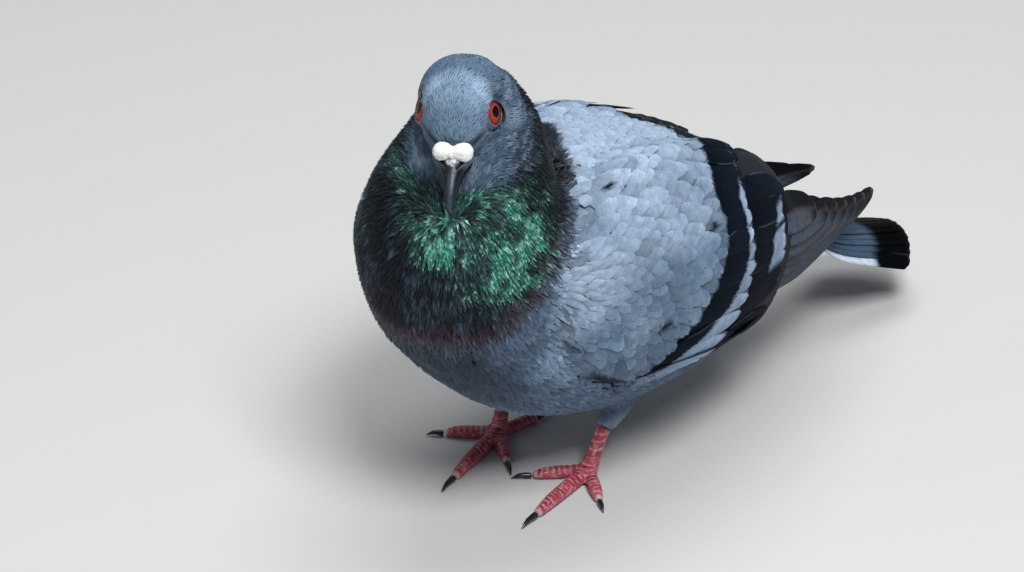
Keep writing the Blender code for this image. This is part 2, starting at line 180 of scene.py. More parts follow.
@dataclass(frozen=True)
class HeadAxes:
    """Axes of the turned head, from the point between its eyes."""

    yaw_deg: float = 36.0
    pitch_deg: float = 34.0

    @property
    def centre(self) -> Array:
        """Half way between the two eyes."""
        corners = [np.array(corner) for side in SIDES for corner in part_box(f"eye_{side}")]
        return sum(corners) / len(corners) / MM

    @property
    def level(self) -> Array:
        """Forwards along the floor."""
        yaw = math.radians(self.yaw_deg)
        return np.array([math.sin(yaw), -math.cos(yaw), 0.0])

    @property
    def forward(self) -> Array:
        """From the middle of the head to the bill."""
        pitch = math.radians(self.pitch_deg)
        return self.level * math.cos(pitch) - np.array([0, 0, math.sin(pitch)])

    @property
    def up(self) -> Array:
        """From the middle of the head to the crown."""
        pitch = math.radians(self.pitch_deg)
        return self.level * math.sin(pitch) + np.array([0, 0, math.cos(pitch)])

    @property
    def left(self) -> Array:
        """From the middle of the head to its left eye."""
        return np.cross(self.up, self.forward)

    def turn(self) -> Array:
        """Rows: forward, left and up."""
        return np.stack([self.forward, self.left, self.up])

    def local(self, points: Array) -> Array:
        """Points as forward, left and up of the head's middle."""
        return (points - self.centre) @ self.turn().T

    def place(self, forward: float, left: float, up: float) -> Array:
        """The point at that place in the head's axes."""
        return self.centre + np.array([forward, left, up]) @ self.turn()


@dataclass(frozen=True)
class Spine:
    """The bird's middle line from the bill to the tail, which its feathers point along."""

    head: HeadAxes
    below_head: tuple[tuple[float, float, float], ...] = (
        (14, -99, 149),
        (10, -97, 132),
        (6, -95, 114),
        (2, -86, 98),
        (0, -59, 84),
        (0, -23, 72),
        (0, 13, 60),
        (0, 45, 48),
        (2, 73, 36),
        (4, 129, 20),
    )
    samples_per_span: int = 6
    falloff: float = 2.2

    def line(self) -> Pair:
        """Points along the line, and the way to the tail at each."""
        knots = [self.head.place(12, 0, -1), self.head.centre]
        knots += [np.array(point, dtype=float) for point in self.below_head]
        points = []
        for start, end in zip(knots, knots[1:]):
            shares = np.arange(self.samples_per_span) / self.samples_per_span
            points += [start + (end - start) * share for share in shares]
        points = np.array(points + [knots[-1]])
        ways = unit(np.gradient(points, axis=0))
        return points, ways

    def flow(self, points: Array, normals: Array) -> Array:
        """The way feathers lie at points: tailwards, level with the surface."""
        knots, ways = self.line()
        gaps = ((points[:, None, :] - knots[None]) ** 2).sum(-1)
        weights = 1.0 / (gaps + 4.0) ** self.falloff
        return flattened(weights @ ways / weights.sum(1, keepdims=True), normals)


HEAD = HeadAxes()
SPINE = Spine(HEAD)


def read(rows: object, name: str, width: int = 3, kind: type = float) -> Array:
    """One property of a mesh's vertices, loops or faces, with a row for each of them."""
    values = np.empty(len(rows) * width, dtype=kind)
    rows.foreach_get(name, values)
    return values.reshape(-1, width)


def mesh_triangles(obj: bpy.types.Object) -> Array:
    """A mesh's triangles as vertex numbers."""
    obj.data.calc_loop_triangles()
    return read(obj.data.loop_triangles, "vertices", kind=np.int64)


def mesh_points(obj: bpy.types.Object) -> Pair:
    """A mesh's vertices in millimetres and their normals."""
    normals = read(obj.data.vertex_normals, "vector", kind=np.float32)
    return read(obj.data.vertices, "co") / MM, normals.astype(float)


def node_arrays(*names: str) -> Pair:
    """Vertices in millimetres and triangles of CAD nodes, joined.

    Args:
        names: the nodes.

    Returns:
        The vertices and the triangles' vertex numbers.
    """
    vertices, triangles, count = [], [], 0
    for name in names:
        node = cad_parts[name]
        vertices.append(read(node.data.vertices, "co") / MM)
        triangles.append(mesh_triangles(node) + count)
        count += len(node.data.vertices)
    return np.concatenate(vertices), np.concatenate(triangles)


@dataclass
class Surface:
    """A mesh that points are dropped or thrown onto, in millimetres."""

    vertices: Array
    triangles: Array

    def __post_init__(self) -> None:
        """Builds the search tree."""
        self.tree = BVHTree.FromPolygons(self.vertices.tolist(), self.triangles.tolist())

    @classmethod
    def of_nodes(cls, *names: str) -> Surface:
        """The surface of CAD nodes."""
        return cls(*node_arrays(*names))

    def drop(self, point: Array) -> Pair:
        """The surface point and normal nearest to a point."""
        place, normal, _, _ = self.tree.find_nearest(Vector(point))
        return np.array(place), np.array(normal)

    def open(self, points: Array, normals: Array, reach: float) -> Array:
        """False for points in a fold, where the surface stands opposite within the reach."""
        return np.array([
            self.tree.ray_cast(Vector(point + normal), Vector(normal), reach)[0] is None
            for point, normal in zip(points, normals)
        ], dtype=bool)

    def gap(self, points: Array) -> Array:
        """Distance from each point to the surface."""
        return np.array([self.tree.find_nearest(Vector(point))[3] for point in points])

    def seen_from(self, side: int, y: float, z: float) -> Pair | None:
        """Where a level ray from the bird's left (1) or right (-1) first meets the surface."""
        return self.throw(np.array([side * OUTSIDE, y, z]), np.array([-side, 0.0, 0.0]))

    def throw(self, start: Array, way: Array) -> Pair | None:
        """Where a ray first meets the surface, and the normal there, or None."""
        place, normal, _, _ = self.tree.ray_cast(Vector(start), Vector(way))
        return None if place is None else (np.array(place), np.array(normal))


def linked(name: str, data: bpy.types.ID) -> bpy.types.Object:
    """A new object with that data, in the scene."""
    obj = bpy.data.objects.new(name, data)
    bpy.context.scene.collection.objects.link(obj)
    return obj


def moulded(name: str, bm: bmesh.types.BMesh) -> bpy.types.Object:
    """A new object in the scene with the shape of a bmesh, which ends with it."""
    mesh = bpy.data.meshes.new(name)
    bm.to_mesh(mesh)
    bm.free()
    return linked(name, mesh)


def remeshed(
    name: str,
    nodes: Sequence[str],
    voxel: float,
    smoothing: int,
    balls: Sequence[tuple[Array, float]] = (),
) -> bpy.types.Object:
    """Copies of CAD nodes run together into one smooth closed mesh.

    Args:
        name: the new object's name.
        nodes: the nodes whose shapes it takes.
        voxel: the size of its faces in millimetres.
        smoothing: how often each vertex is moved to the middle of its neighbours.
        balls: places and radii of balls that are run in with them.

    Returns:
        The new object, at the origin.
    """
    bm = bmesh.new()
    for node in nodes:
        bm.from_mesh(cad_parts[node].data)
    bmesh.ops.remove_doubles(bm, verts=bm.verts, dist=1e-6)
    for place, radius in balls:
        bmesh.ops.create_icosphere(
            bm, subdivisions=3, radius=radius * MM, matrix=Matrix.Translation(Vector(place * MM))
        )
    obj = moulded(name, bm)
    step = obj.modifiers.new("Remesh", "REMESH")
    step.mode = "VOXEL"
    step.voxel_size = voxel * MM
    step.use_smooth_shade = True
    done = bpy.data.meshes.new_from_object(obj.evaluated_get(bpy.context.evaluated_depsgraph_get()))
    obj.modifiers.clear()
    obj.data = done
    done.name = name
    bm = bmesh.new()
    bm.from_mesh(done)
    for _ in range(smoothing):
        bmesh.ops.smooth_vert(
            bm, verts=bm.verts, factor=0.5, use_axis_x=True, use_axis_y=True, use_axis_z=True
        )
    bmesh.ops.recalc_face_normals(bm, faces=bm.faces)
    bm.to_mesh(done)
    bm.free()
    return obj


def move_points(obj: bpy.types.Object, points: Array) -> None:
    """Puts a mesh's vertices at points in millimetres."""
    obj.data.vertices.foreach_set("co", (points * MM).ravel())
    obj.data.update()


def write_tint(mesh: bpy.types.Mesh, tint: Array, gleam: Array) -> None:
    """Stores colours and gleams as attributes of a mesh.

    Args:
        mesh: the mesh.
        tint: a colour for each vertex.
        gleam: a gleam for each vertex, from 0 to 1.
    """
    colour = mesh.attributes.new(TINT, "FLOAT_COLOR", "POINT")
    rows = np.concatenate([np.clip(tint, 0, 1), np.ones((len(tint), 1))], axis=1)
    colour.data.foreach_set("color", rows.ravel())
    shine = mesh.attributes.new(GLEAM, "FLOAT", "POINT")
    shine.data.foreach_set("value", np.clip(gleam, 0, 1))


# ---- markings


class Hue:
    """The plumage's colours, as light reflected in red, green and blue."""

    FOREHEAD = (0.155, 0.238, 0.340)
    # painted highlight: the lighter blue-grey laid on the head above each eye
    BROW_HIGHLIGHT = (0.265, 0.365, 0.500)
    CROWN = (0.066, 0.110, 0.172)
    CHEEK = (0.046, 0.080, 0.128)
    DUSK = (0.022, 0.036, 0.056)
    FACE_PALE = (0.170, 0.230, 0.310)
    NIGHT = (0.006, 0.009, 0.013)
    NECK = (0.005, 0.008, 0.013)
    GREEN = (0.048, 0.270, 0.200)
    # painted glint colour: near-white mint laid into the neck feathers where they gleam
    MINT_GLINT = (0.540, 0.850, 0.730)
    PURPLE = (0.056, 0.033, 0.056)
    ASH = (0.050, 0.085, 0.120)
    SLATE = (0.060, 0.080, 0.115)
    SHOULDER = (0.120, 0.160, 0.220)
    BREAST = (0.032, 0.046, 0.070)
    BELLY = (0.098, 0.155, 0.235)
    FLANK = (0.200, 0.285, 0.400)
    VENT = (0.180, 0.230, 0.300)
    MANTLE = (0.270, 0.345, 0.455)
    RUMP = (0.300, 0.370, 0.470)
    SHIELD = (0.250, 0.325, 0.430)
    # painted shade colour of the shield's lower part
    SHIELD_SHADED = (0.115, 0.170, 0.250)
    BAR = (0.0045, 0.008, 0.015)
    BAR_RIM = (0.060, 0.085, 0.115)
    CRESCENT = (0.230, 0.310, 0.420)
    FLIGHT = (0.006, 0.007, 0.010)
    FLIGHT_WEB = (0.078, 0.093, 0.125)
    FLIGHT_EDGE = (0.200, 0.185, 0.195)
    FLIGHT_SHAFT = (0.050, 0.045, 0.045)
    TAIL = (0.045, 0.076, 0.118)
    TAIL_BAND = (0.001, 0.0015, 0.002)
    TAIL_WHITE = (0.480, 0.560, 0.660)
    TAIL_SHAFT = (0.030, 0.030, 0.035)
    THIGH = (0.230, 0.285, 0.360)


class Bare:
    """The colours of bill, cere, eyes, lids and feet."""

    HORN = (0.008, 0.011, 0.016)
    HORN_FLAP = (0.085, 0.120, 0.165)
    # painted highlight along the bill's ridge
    RIDGE_HIGHLIGHT = (0.040, 0.060, 0.085)
    HORN_RIM = (0.130, 0.125, 0.130)
    NOSTRIL = (0.004, 0.004, 0.005)
    POWDER = (0.600, 0.610, 0.620)
    CERE = (0.700, 0.700, 0.690)
    CERE_WORN = (0.300, 0.320, 0.350)
    PUPIL = (0.002, 0.002, 0.003)
    PUPIL_EDGE = (0.160, 0.070, 0.030)
    IRIS_ORANGE = (0.340, 0.100, 0.060)
    IRIS_RED = (0.320, 0.030, 0.030)
    IRIS_DEEP = (0.300, 0.022, 0.028)
    IRIS_RIM = (0.050, 0.010, 0.010)
    EYE_BACK = (0.008, 0.005, 0.005)
    LID = (0.130, 0.095, 0.085)
    LID_REAR = (0.050, 0.065, 0.090)
    LID_EDGE = (0.012, 0.010, 0.010)
    LID_OUTER = (0.060, 0.080, 0.110)
    LEG = (0.400, 0.058, 0.088)
    LEG_DEEP = (0.150, 0.010, 0.022)
    LEG_CREASE = (0.700, 0.400, 0.430)
    LEG_PORE = (0.620, 0.340, 0.370)
    LEG_DUST = (0.620, 0.420, 0.420)
    TOE_END = (0.420, 0.370, 0.370)
    CLAW = (0.012, 0.011, 0.012)


@dataclass(frozen=True)
class WingMap:
    """How far back a point of the folded wing lies, counted over its rows of feathers.

    Five lines run down the wing's outside: the front and rear edge of the front bar, the tips of
    the greater coverts, the rear edge of the rear bar and the tips of the secondaries. A line's
    level is its Y at the bend of the wing. Below the bend it sweeps forwards by its own amount,
    the later the higher its power; over the back all lines slant tailwards.
    """

    levels: tuple[float, ...] = (-18.5, -6.2, -3.0, 13.5, 20.5)
    sweeps: tuple[float, ...] = (34.0, 34.0, 10.0, 11.0, 6.0)
    powers: tuple[float, ...] = (2.0, 3.5, 4.0, 2.0, 2.0)
    bend_z: float = 92.0
    reach_z: float = 44.0
    slant: float = 0.78
    slant_from: float = 41.0
    slant_reach: float = 24.0

    def drop(self, points: Array) -> Array:
        """How far a point lies below the bend, over the reach."""
        return np.clip((self.bend_z - points[..., 2]) / self.reach_z, 0, 1.1)

    def shift(self, points: Array) -> Array:
        """How far the lines are moved tailwards at a point, over the back."""
        inside = np.clip(self.slant_from - np.abs(points[..., 0]), 0, self.slant_reach)
        top = blend(87.0, 95.0, points[..., 2] + 0.35 * (points[..., 1] + 5.0))
        return self.slant * inside * top

    def line(self, number: int, drop: Array) -> Array:
        """Where one of the lines is, as Y on the wing's side."""
        return self.levels[number] - self.sweeps[number] * np.maximum(drop, 0) ** self.powers[number]

    def level(self, y: Array, drop: Array) -> Array:
        """The level of a place on the wing's side."""
        lines = [self.line(number, drop) for number in range(len(self.levels))]
        steepness = 2 * self.sweeps[0] * drop / self.reach_z
        found = self.levels[0] + np.minimum(y - lines[0], 0) / np.sqrt(1 + steepness**2)
        for k in range(len(lines) - 1):
            share = np.clip((y - lines[k]) / (lines[k + 1] - lines[k]), 0, 1)
            found = found + (self.levels[k + 1] - self.levels[k]) * share
        return found + np.clip(y - lines[-1], 0, None)

    def back(self, points: Array) -> Array:
        """The level of each point."""
        return self.level(points[..., 1] - self.shift(points), self.drop(points))

    def growth(self, points: Array) -> Array:
        """How fast the level grows along X, Y and Z."""
        y, drop, step = points[..., 1] - self.shift(points), self.drop(points), 0.5
        on = (self.level(y + step, drop) - self.level(y - step, drop)) / (2 * step)
        lower = step / self.reach_z
        down = (self.level(y, drop + lower) - self.level(y, drop - lower)) / (2 * step)
        return np.stack([np.zeros_like(on), on, -down], axis=-1)

    def way(self, points: Array) -> Array:
        """The way the level grows: backwards, and down on the lower wing."""
        return unit(self.growth(points))

    def breadth(self, points: Array, first: int, last: int) -> Array:
        """How far two of the lines are apart at the points' height."""
        drop = self.drop(points)
        return self.line(last, drop) - self.line(first, drop)


WING_MAP = WingMap()


@dataclass(frozen=True)
class Markings:
    """The colour and gleam of skin and feathers at any place on the body."""

    bib_line: tuple = ((-116.0, -95.0, -74.0, -60.0), (75.0, 94.5, 108.5, 131.0))
    cape_from: float = -46.0
    cape_slope: float = 0.76
    cape_low: float = 107.0
    glosses: tuple = (
        ((14.3, -122.3, 128.5), 4.0, 0.45),
        ((9.0, -123.5, 124.6), 4.0, 0.4),
        ((22.8, -123.1, 116.1), 5.5, 0.9),
        ((25.3, -120.0, 120.1), 5.5, 0.8),
        ((19.7, -125.3, 111.5), 5.5, 0.7),
        ((28.8, -112.9, 127.1), 6.5, 0.55),
        ((35.1, -101.9, 113.3), 9.0, 0.9),
        ((32.9, -108.3, 120.2), 7.0, 0.55),
        ((36.1, -94.0, 106.0), 9.0, 0.8),
        ((33.6, -109.5, 103.0), 7.5, 0.9),
        ((30.9, -115.4, 105.5), 6.0, 0.6),
        ((35.0, -93.0, 120.0), 7.0, 0.6),
        ((32.0, -92.0, 131.0), 6.0, 0.45),
        ((0.9, -119.5, 134.5), 6.0, 0.35),
        ((17.5, -123.5, 121.0), 5.0, 0.55),
        ((27.5, -118.0, 112.0), 5.5, 0.6),
        ((-26.0, -112.0, 112.0), 13.0, 0.6),
    )
    spots: tuple = (
        ((46.7, -24.8, 92.6), 2.6), ((48.3, -50.0, 66.7), 2.8), ((33.0, -61.0, 116.0), 1.7),
    )
    eye_line: tuple = (
        ((6.0, 8.4, 2.2), 1.3), ((7.8, 7.6, 1.9), 1.1), ((9.4, 6.6, 1.6), 1.1),
        ((10.8, 5.5, 1.3), 1.1),
    )
    head_grain: tuple[float, ...] = (0.25, 1.0, 1.0)
    neck_grain: tuple[float, ...] = (1.0, 1.0, 0.45)
    spot_grain: tuple[float, ...] = (1.0, 0.6, 1.25)

    def bib(self, points: Array) -> Array:
        """How far a point lies above the lower edge of the dark neck."""
        x, y, z = parted(points)
        front = z - np.interp(y, *self.bib_line)
        cape = self.cape_from - self.cape_slope * np.abs(x + 5.0) - y
        level = np.maximum(front, np.minimum(cape, z - self.cape_low))
        return level + 5.0 * (noise(points, 9.0, 3) - 0.5) + 1.2

    @staticmethod
    def back_edge(y: Array) -> Array:
        """The height where the back's plumage meets the flank's."""
        return 84.0 - 0.42 * (y + 59.0)

    def head_tint(self, points: Array) -> Array:
        """Blue-grey forehead with a painted highlight above each eye, slate crown and cheeks, the
        marks round the eye, and painted light beside the root of the lower bill.
        """
        local = HEAD.local(points)
        forward, left, up = local[..., 0], np.abs(local[..., 1]), local[..., 2]
        local = np.stack([forward, left, up], axis=-1)
        low = blend(1.5, -2.5, up + 0.15 * (forward - 8))
        side = np.maximum(low, blend(10.5, 12.5, left) * blend(8.0, 4.0, up))
        streak = blend(0.45, 0.8, noise(local * self.head_grain, 0.9, 6))
        ring = np.abs(np.hypot(forward - 6.0, left) - 9.4)
        line = sum(near(local, place, reach) for place, reach in self.eye_line)
        return coated(
            Hue.FOREHEAD,
            # painted highlight above each eye
            (Hue.BROW_HIGHLIGHT, near(local, (-3.5, 8.0, 9.0), 5.0)),
            (Hue.CROWN, 0.9 * blend(-6.0, -11.5, forward - 0.2 * left)),
            (Hue.CROWN, 0.75 * near(local, (12.5, 0, 3.0), 3.4)),
            (Hue.CHEEK, 0.95 * side),
            (Hue.NIGHT, 0.75 * near(local, (-4.5, 10.5, 5.5), 3.2)),
            (Hue.DUSK, 0.85 * blend(14.5, 18.0, left) * blend(-2.5, -5.5, up)),
            (Hue.FACE_PALE, 0.8 * near(local, (-0.9, 17.0, -1.0), 3.4)),
            (Hue.FACE_PALE, 0.55 * near(local, (8.0, 7.5, -4.5), 2.6)),
            # painted light: a pale patch beside the root of the lower bill, where the bill shades
            # the face
            (Hue.FACE_PALE, 0.7 * near(local, (14.0, 5.0, -7.5), 3.2)),
            (Hue.FACE_PALE, 0.55 * streak * side),
            (Hue.CROWN, 0.30 * blend(1.6, 0.4, ring) * blend(3.0, 7.0, up)),
            (Hue.NIGHT, np.clip(0.9 * line, 0, 0.8)),
        )

    def neck_tint(self, points: Array, wing_gap: Array) -> Pair:
        """Slate-black neck with a patchy green gloss, purple and slate at its lower edge.

        Args:
            points: places in millimetres.
            wing_gap: distance from the nearer wing.

        Returns:
            The colours and the gleams.
        """
        x, y, z = parted(points)
        front = sum(share * near(points, place, reach) for place, reach, share in self.glosses)
        patchy = blend(0.36, 0.62, noise(points, 6.5, 11)) * blend(0.25, 0.6, noise(points, 2.6, 12))
        gloss = np.clip(front, 0, 1.1) * (0.12 + 1.15 * patchy)
        dull = 1 - np.clip(gloss, 0, 1)
        level = self.bib(points)
        streaks = points * self.neck_grain
        ashen = blend(0.48, 0.75, noise(streaks, 5.0, 17)) * blend(0.3, 0.6, noise(streaks, 1.1, 18))
        ashen = ashen * blend(-95.0, -110.0, y) * dull
        edge = blend(15.0, 6.0, level) * blend(-60.0, -80.0, y)
        edge = edge * (0.6 + 0.4 * blend(0.35, 0.6, noise(points, 4.5, 15)))
        rim = blend(9.0, 2.0, level + 4.0 * (noise(points, 4.0, 13) - 0.5)) * blend(-10.0, 24.0, x)
        rim = np.maximum(rim, blend(9.0, 5.0, wing_gap + 3.0 * (noise(points, 4.0, 14) - 0.5)))
        hind = blend(-101.0, -90.0, y) * blend(108.0, 120.0, z)
        tint = coated(
            Hue.NECK,
            (Hue.GREEN, np.clip(0.9 * gloss, 0, 0.92)),
            (Hue.ASH, 0.42 * ashen),
            (Hue.PURPLE, 0.8 * edge * (0.3 + 0.7 * dull)),
            (Hue.SLATE, 0.85 * rim),
            (Hue.NIGHT, 0.8 * hind),
            (Hue.SHOULDER, blend(4.5, 1.0, wing_gap) * blend(0.0, 20.0, x)),
        )
        return tint, gloss * (1 - 0.5 * edge) * (1 - 0.8 * rim) * (1 - 0.75 * hind)

    def trunk_tint(self, points: Array) -> Array:
        """Slate breast, blue-grey belly, pale back, rump and vent."""
        x, y, z = parted(points)
        side = np.abs(x)
        pale = blend(-99.0, -86.0, y) * blend(24.0, 34.0, side) * blend(42.0, 68.0, z)
        tint = coated(
            Hue.BREAST,
            (Hue.BELLY, blend(-110.0, -78.0, y)),
            (Hue.BELLY, 0.6 * blend(20.0, 36.0, side)),
            (Hue.FLANK, 0.9 * pale),
        )
        mottle = 0.6 * (noise(points, 6.0, 25) - 0.5) + 0.4 * (noise(points, 2.6, 26) - 0.5)
        tint = tint * (1 + 0.9 * mottle * blend(20.0, -20.0, y))[..., None]
        top = blend(-8.0, 6.0, z - self.back_edge(y))
        saddle = blend(-1.0, 3.0, y) * blend(19.0, 15.0, y) * blend(88.0, 94.0, z)
        return coated(
            tint,
            (Hue.VENT, blend(10.0, 50.0, y)),
            (Hue.MANTLE, top),
            (Hue.RUMP, top * blend(20.0, 40.0, y)),
            (Hue.BAR, saddle),
            (Hue.TAIL, blend(60.0, 72.0, y)),
        )

    def body(self, points: Array, on_head: Array, wing_gap: Array) -> Pair:
        """Colour and gleam away from the wings.

        Args:
            points: places in millimetres.
            on_head: one on the head's feathers, and nothing below them.
            wing_gap: distance from the nearer wing.

        Returns:
            The colours and the gleams.
        """
        neck, gloss = self.neck_tint(points, wing_gap)
        above = blend(-2.5, 2.5, self.bib(points))
        tint = coated(self.trunk_tint(points), (neck, above), (self.head_tint(points), on_head))
        return tint, gloss * above * (1 - on_head)

    def wing(self, points: Array) -> Array:
        """Colour of the folded wing: pale shield with painted shade on its lower part, two black
        bars and dark flight feathers.
        """
        back = WING_MAP.back(points)
        y, z = points[..., 1], points[..., 2]
        front, behind, tips, _, end = WING_MAP.levels
        # painted shade: the shield darkens down the wing and away from its front edge, in noisy
        # patches, where less light falls
        lower_shade = 0.98 * blend(116.0, 80.0, z) * blend(-84.0, -60.0, back)
        lower_shade = lower_shade + 1.0 * (noise(points, 12.0, 5) - 0.5) + 0.45 * (noise(points, 4.0, 8) - 0.5)
        middle = (behind + tips) / 2
        half = (tips - behind) / 2 * blend(97.0, 93.0, z)
        stripe = blend(middle - half - 0.25, middle - half + 0.25, back)
        stripe = stripe * blend(middle + half + 0.25, middle + half - 0.25, back)
        upper = blend(82.0, 80.0, z) * blend(75.8, 76.8, z)
        lower = blend(75.0, 74.0, z) * blend(60.5, 64.5, z)
        wide = 4.2 * blend(81.5, 72.0, z)
        crescent = (upper + lower) * blend(end - 3.8 - wide, end - 3.0 - wide, back)
        crescent = crescent * blend(end + 0.6, end + 0.2, back)
        dark = blend(front - 0.4, front + 0.4, back) * (1 - np.clip(stripe + crescent, 0, 1))
        for place, reach in self.spots:
            spot = near(points * self.spot_grain, np.array(place) * self.spot_grain, reach)
            spot = spot + 0.5 * (noise(points, 1.6, 16) - 0.5)
            dark = np.maximum(dark, blend(0.42, 0.62, spot))
        foot = z - (56.6 - 0.62 * (y + 73.0))
        foot = blend(0.4, -0.4, foot) * blend(-4.0, -3.2, foot)
        dark = np.maximum(dark, 0.9 * foot * blend(-78.0, -72.0, y) * blend(-44.0, -48.0, y))
        return coated(
            Hue.SHIELD,
            (Hue.SHIELD_SHADED, np.clip(lower_shade, 0, 1)),
            (Hue.SHOULDER, blend(-82.0, -96.0, back + 5.0 * (noise(points, 5.0, 9) - 0.5))),
            (Hue.CRESCENT, blend(front, front + 1.0, back)),
            (Hue.BAR, dark),
        )


MARKINGS = Markings()


# ---- shaders


def socket(group: bpy.types.NodeTree, name: str, kind: str, way: str, value: object = None) -> None:
    """Adds a named input or output to a shader group."""
    made = group.interface.new_socket(name=name, in_out=way, socket_type=kind)
    if value is not None:
        made.default_value = value


@dataclass(frozen=True)
class Nodes:
    """Short calls for laying out the nodes of one tree."""

    tree: bpy.types.NodeTree

    def add(self, kind: str, **settings: object) -> bpy.types.Node:
        """A new node with settings on the node itself."""
        node = self.tree.nodes.new(kind)
        for name, value in settings.items():
            setattr(node, name, value)
        return node

    def put(self, node: bpy.types.Node, name: str | int, value: object) -> None:
        """Sets an input, or links another node's output to it."""
        if isinstance(value, bpy.types.NodeSocket):
            self.tree.links.new(value, node.inputs[name])
        else:
            node.inputs[name].default_value = value

    def bumped(self, shader: bpy.types.Node, height: object, strength: float, mm: float) -> None:
        """Gives a shader a bump from a height, so many millimetres deep."""
        bump = self.add("ShaderNodeBump")
        self.put(bump, "Strength", strength)
        self.put(bump, "Distance", mm * MM)
        self.put(bump, "Height", height)
        self.put(shader, "Normal", bump.outputs[0])

    def math(self, how: str, *values: object) -> bpy.types.NodeSocket:
        """The result of a Math node."""
        node = self.add("ShaderNodeMath", operation=how)
        for number, value in enumerate(values):
            self.put(node, number, value)
        return node.outputs[0]

    def noise(self, vector: object, scale: float, detail: float = 2.0) -> bpy.types.NodeSocket:
        """Noise from about 0.2 to 0.8."""
        node = self.add("ShaderNodeTexNoise")
        self.put(node, "Vector", vector)
        self.put(node, "Scale", scale)
        self.put(node, "Detail", detail)
        return node.outputs["Fac"]

    def ramp(self, value: object, low: float, high: float, start: float, end: float) -> object:
        """Value from low to high carried over to start to end, clamped."""
        node = self.add("ShaderNodeMapRange")
        for number, entry in enumerate((value, low, high, start, end)):
            self.put(node, number, entry)
        return node.outputs["Result"]

    def tinted(self, colour: object, factor: object) -> bpy.types.NodeSocket:
        """A colour made lighter or darker by a factor."""
        node = self.add("ShaderNodeVectorMath", operation="SCALE")
        self.put(node, 0, colour)
        self.put(node, "Scale", factor)
        return node.outputs[0]

    def blend(self, share: object, first: object, second: object) -> bpy.types.NodeSocket:
        """First colour turned into second by share."""
        node = self.add("ShaderNodeMix", data_type="RGBA")
        self.put(node, "Factor", share)
        self.put(node, 6, first)
        self.put(node, 7, second)
        return node.outputs[2]


def finished(name: str, dress: Callable[[Nodes, bpy.types.Node], None]) -> bpy.types.Material:
    """The material of that name, made once.

    Args:
        name: the material's name.
        dress: lays out its nodes, from the tree and its shader.

    Returns:
        The material.
    """
    made = bpy.data.materials.get(name)
    if made is None:
        made = bpy.data.materials.new(name)
        made.use_nodes = True
        dress(Nodes(made.node_tree), made.node_tree.nodes["Principled BSDF"])
    return made


def barb_group() -> bpy.types.NodeTree:
    """Fine barbs that leave a feather's shaft at a slant, as a shade and a height.

    Returns:
        The shader group, made once.
    """
    found = bpy.data.node_groups.get("Barbs")
    if found:
        return found
    group = bpy.data.node_groups.new("Barbs", "ShaderNodeTree")
    for name, value in (("Count", 30.0), ("Slant", 0.6), ("Contrast", 0.3)):
        socket(group, name, "NodeSocketFloat", "INPUT", value)
    for name in ("Shade", "Height"):
        socket(group, name, "NodeSocketFloat", "OUTPUT")
    kit = Nodes(group)
    inside, outside = kit.add("NodeGroupInput"), kit.add("NodeGroupOutput")
    place = kit.add("ShaderNodeUVMap", uv_map=VANE_MAP)
    split = kit.add("ShaderNodeSeparateXYZ")
    kit.put(split, 0, place.outputs[0])
    across = kit.math("ABSOLUTE", kit.math("FRACT", split.outputs["X"]))
    across = kit.math("ABSOLUTE", kit.math("SUBTRACT", across, 0.5))
    slanted = kit.math("MULTIPLY", across, inside.outputs["Slant"])
    along = kit.math("SUBTRACT", split.outputs["Y"], slanted)
    waves = kit.math("MULTIPLY", along, inside.outputs["Count"])
    joined = kit.add("ShaderNodeCombineXYZ")
    kit.put(joined, "X", waves)
    kit.put(joined, "Y", kit.math("MULTIPLY", split.outputs["X"], 1.5))
    strand = kit.noise(joined.outputs[0], 1.0, 3.0)
    lift = kit.ramp(strand, 0.3, 0.7, -1.0, 1.0)
    shade = kit.math("MULTIPLY_ADD", lift, inside.outputs["Contrast"], 1.0)
    kit.put(outside, "Shade", shade)
    kit.put(outside, "Height", strand)
    return group


@dataclass(frozen=True)
class Finish:
    """A named finish that lays out its own nodes."""

    name: str

    def material(self) -> bpy.types.Material:
        """The material, made once."""
        return finished(self.name, self.dress)

    def dress(self, kit: Nodes, shader: bpy.types.Node) -> None:
        """Lays out the material's nodes."""
        raise NotImplementedError


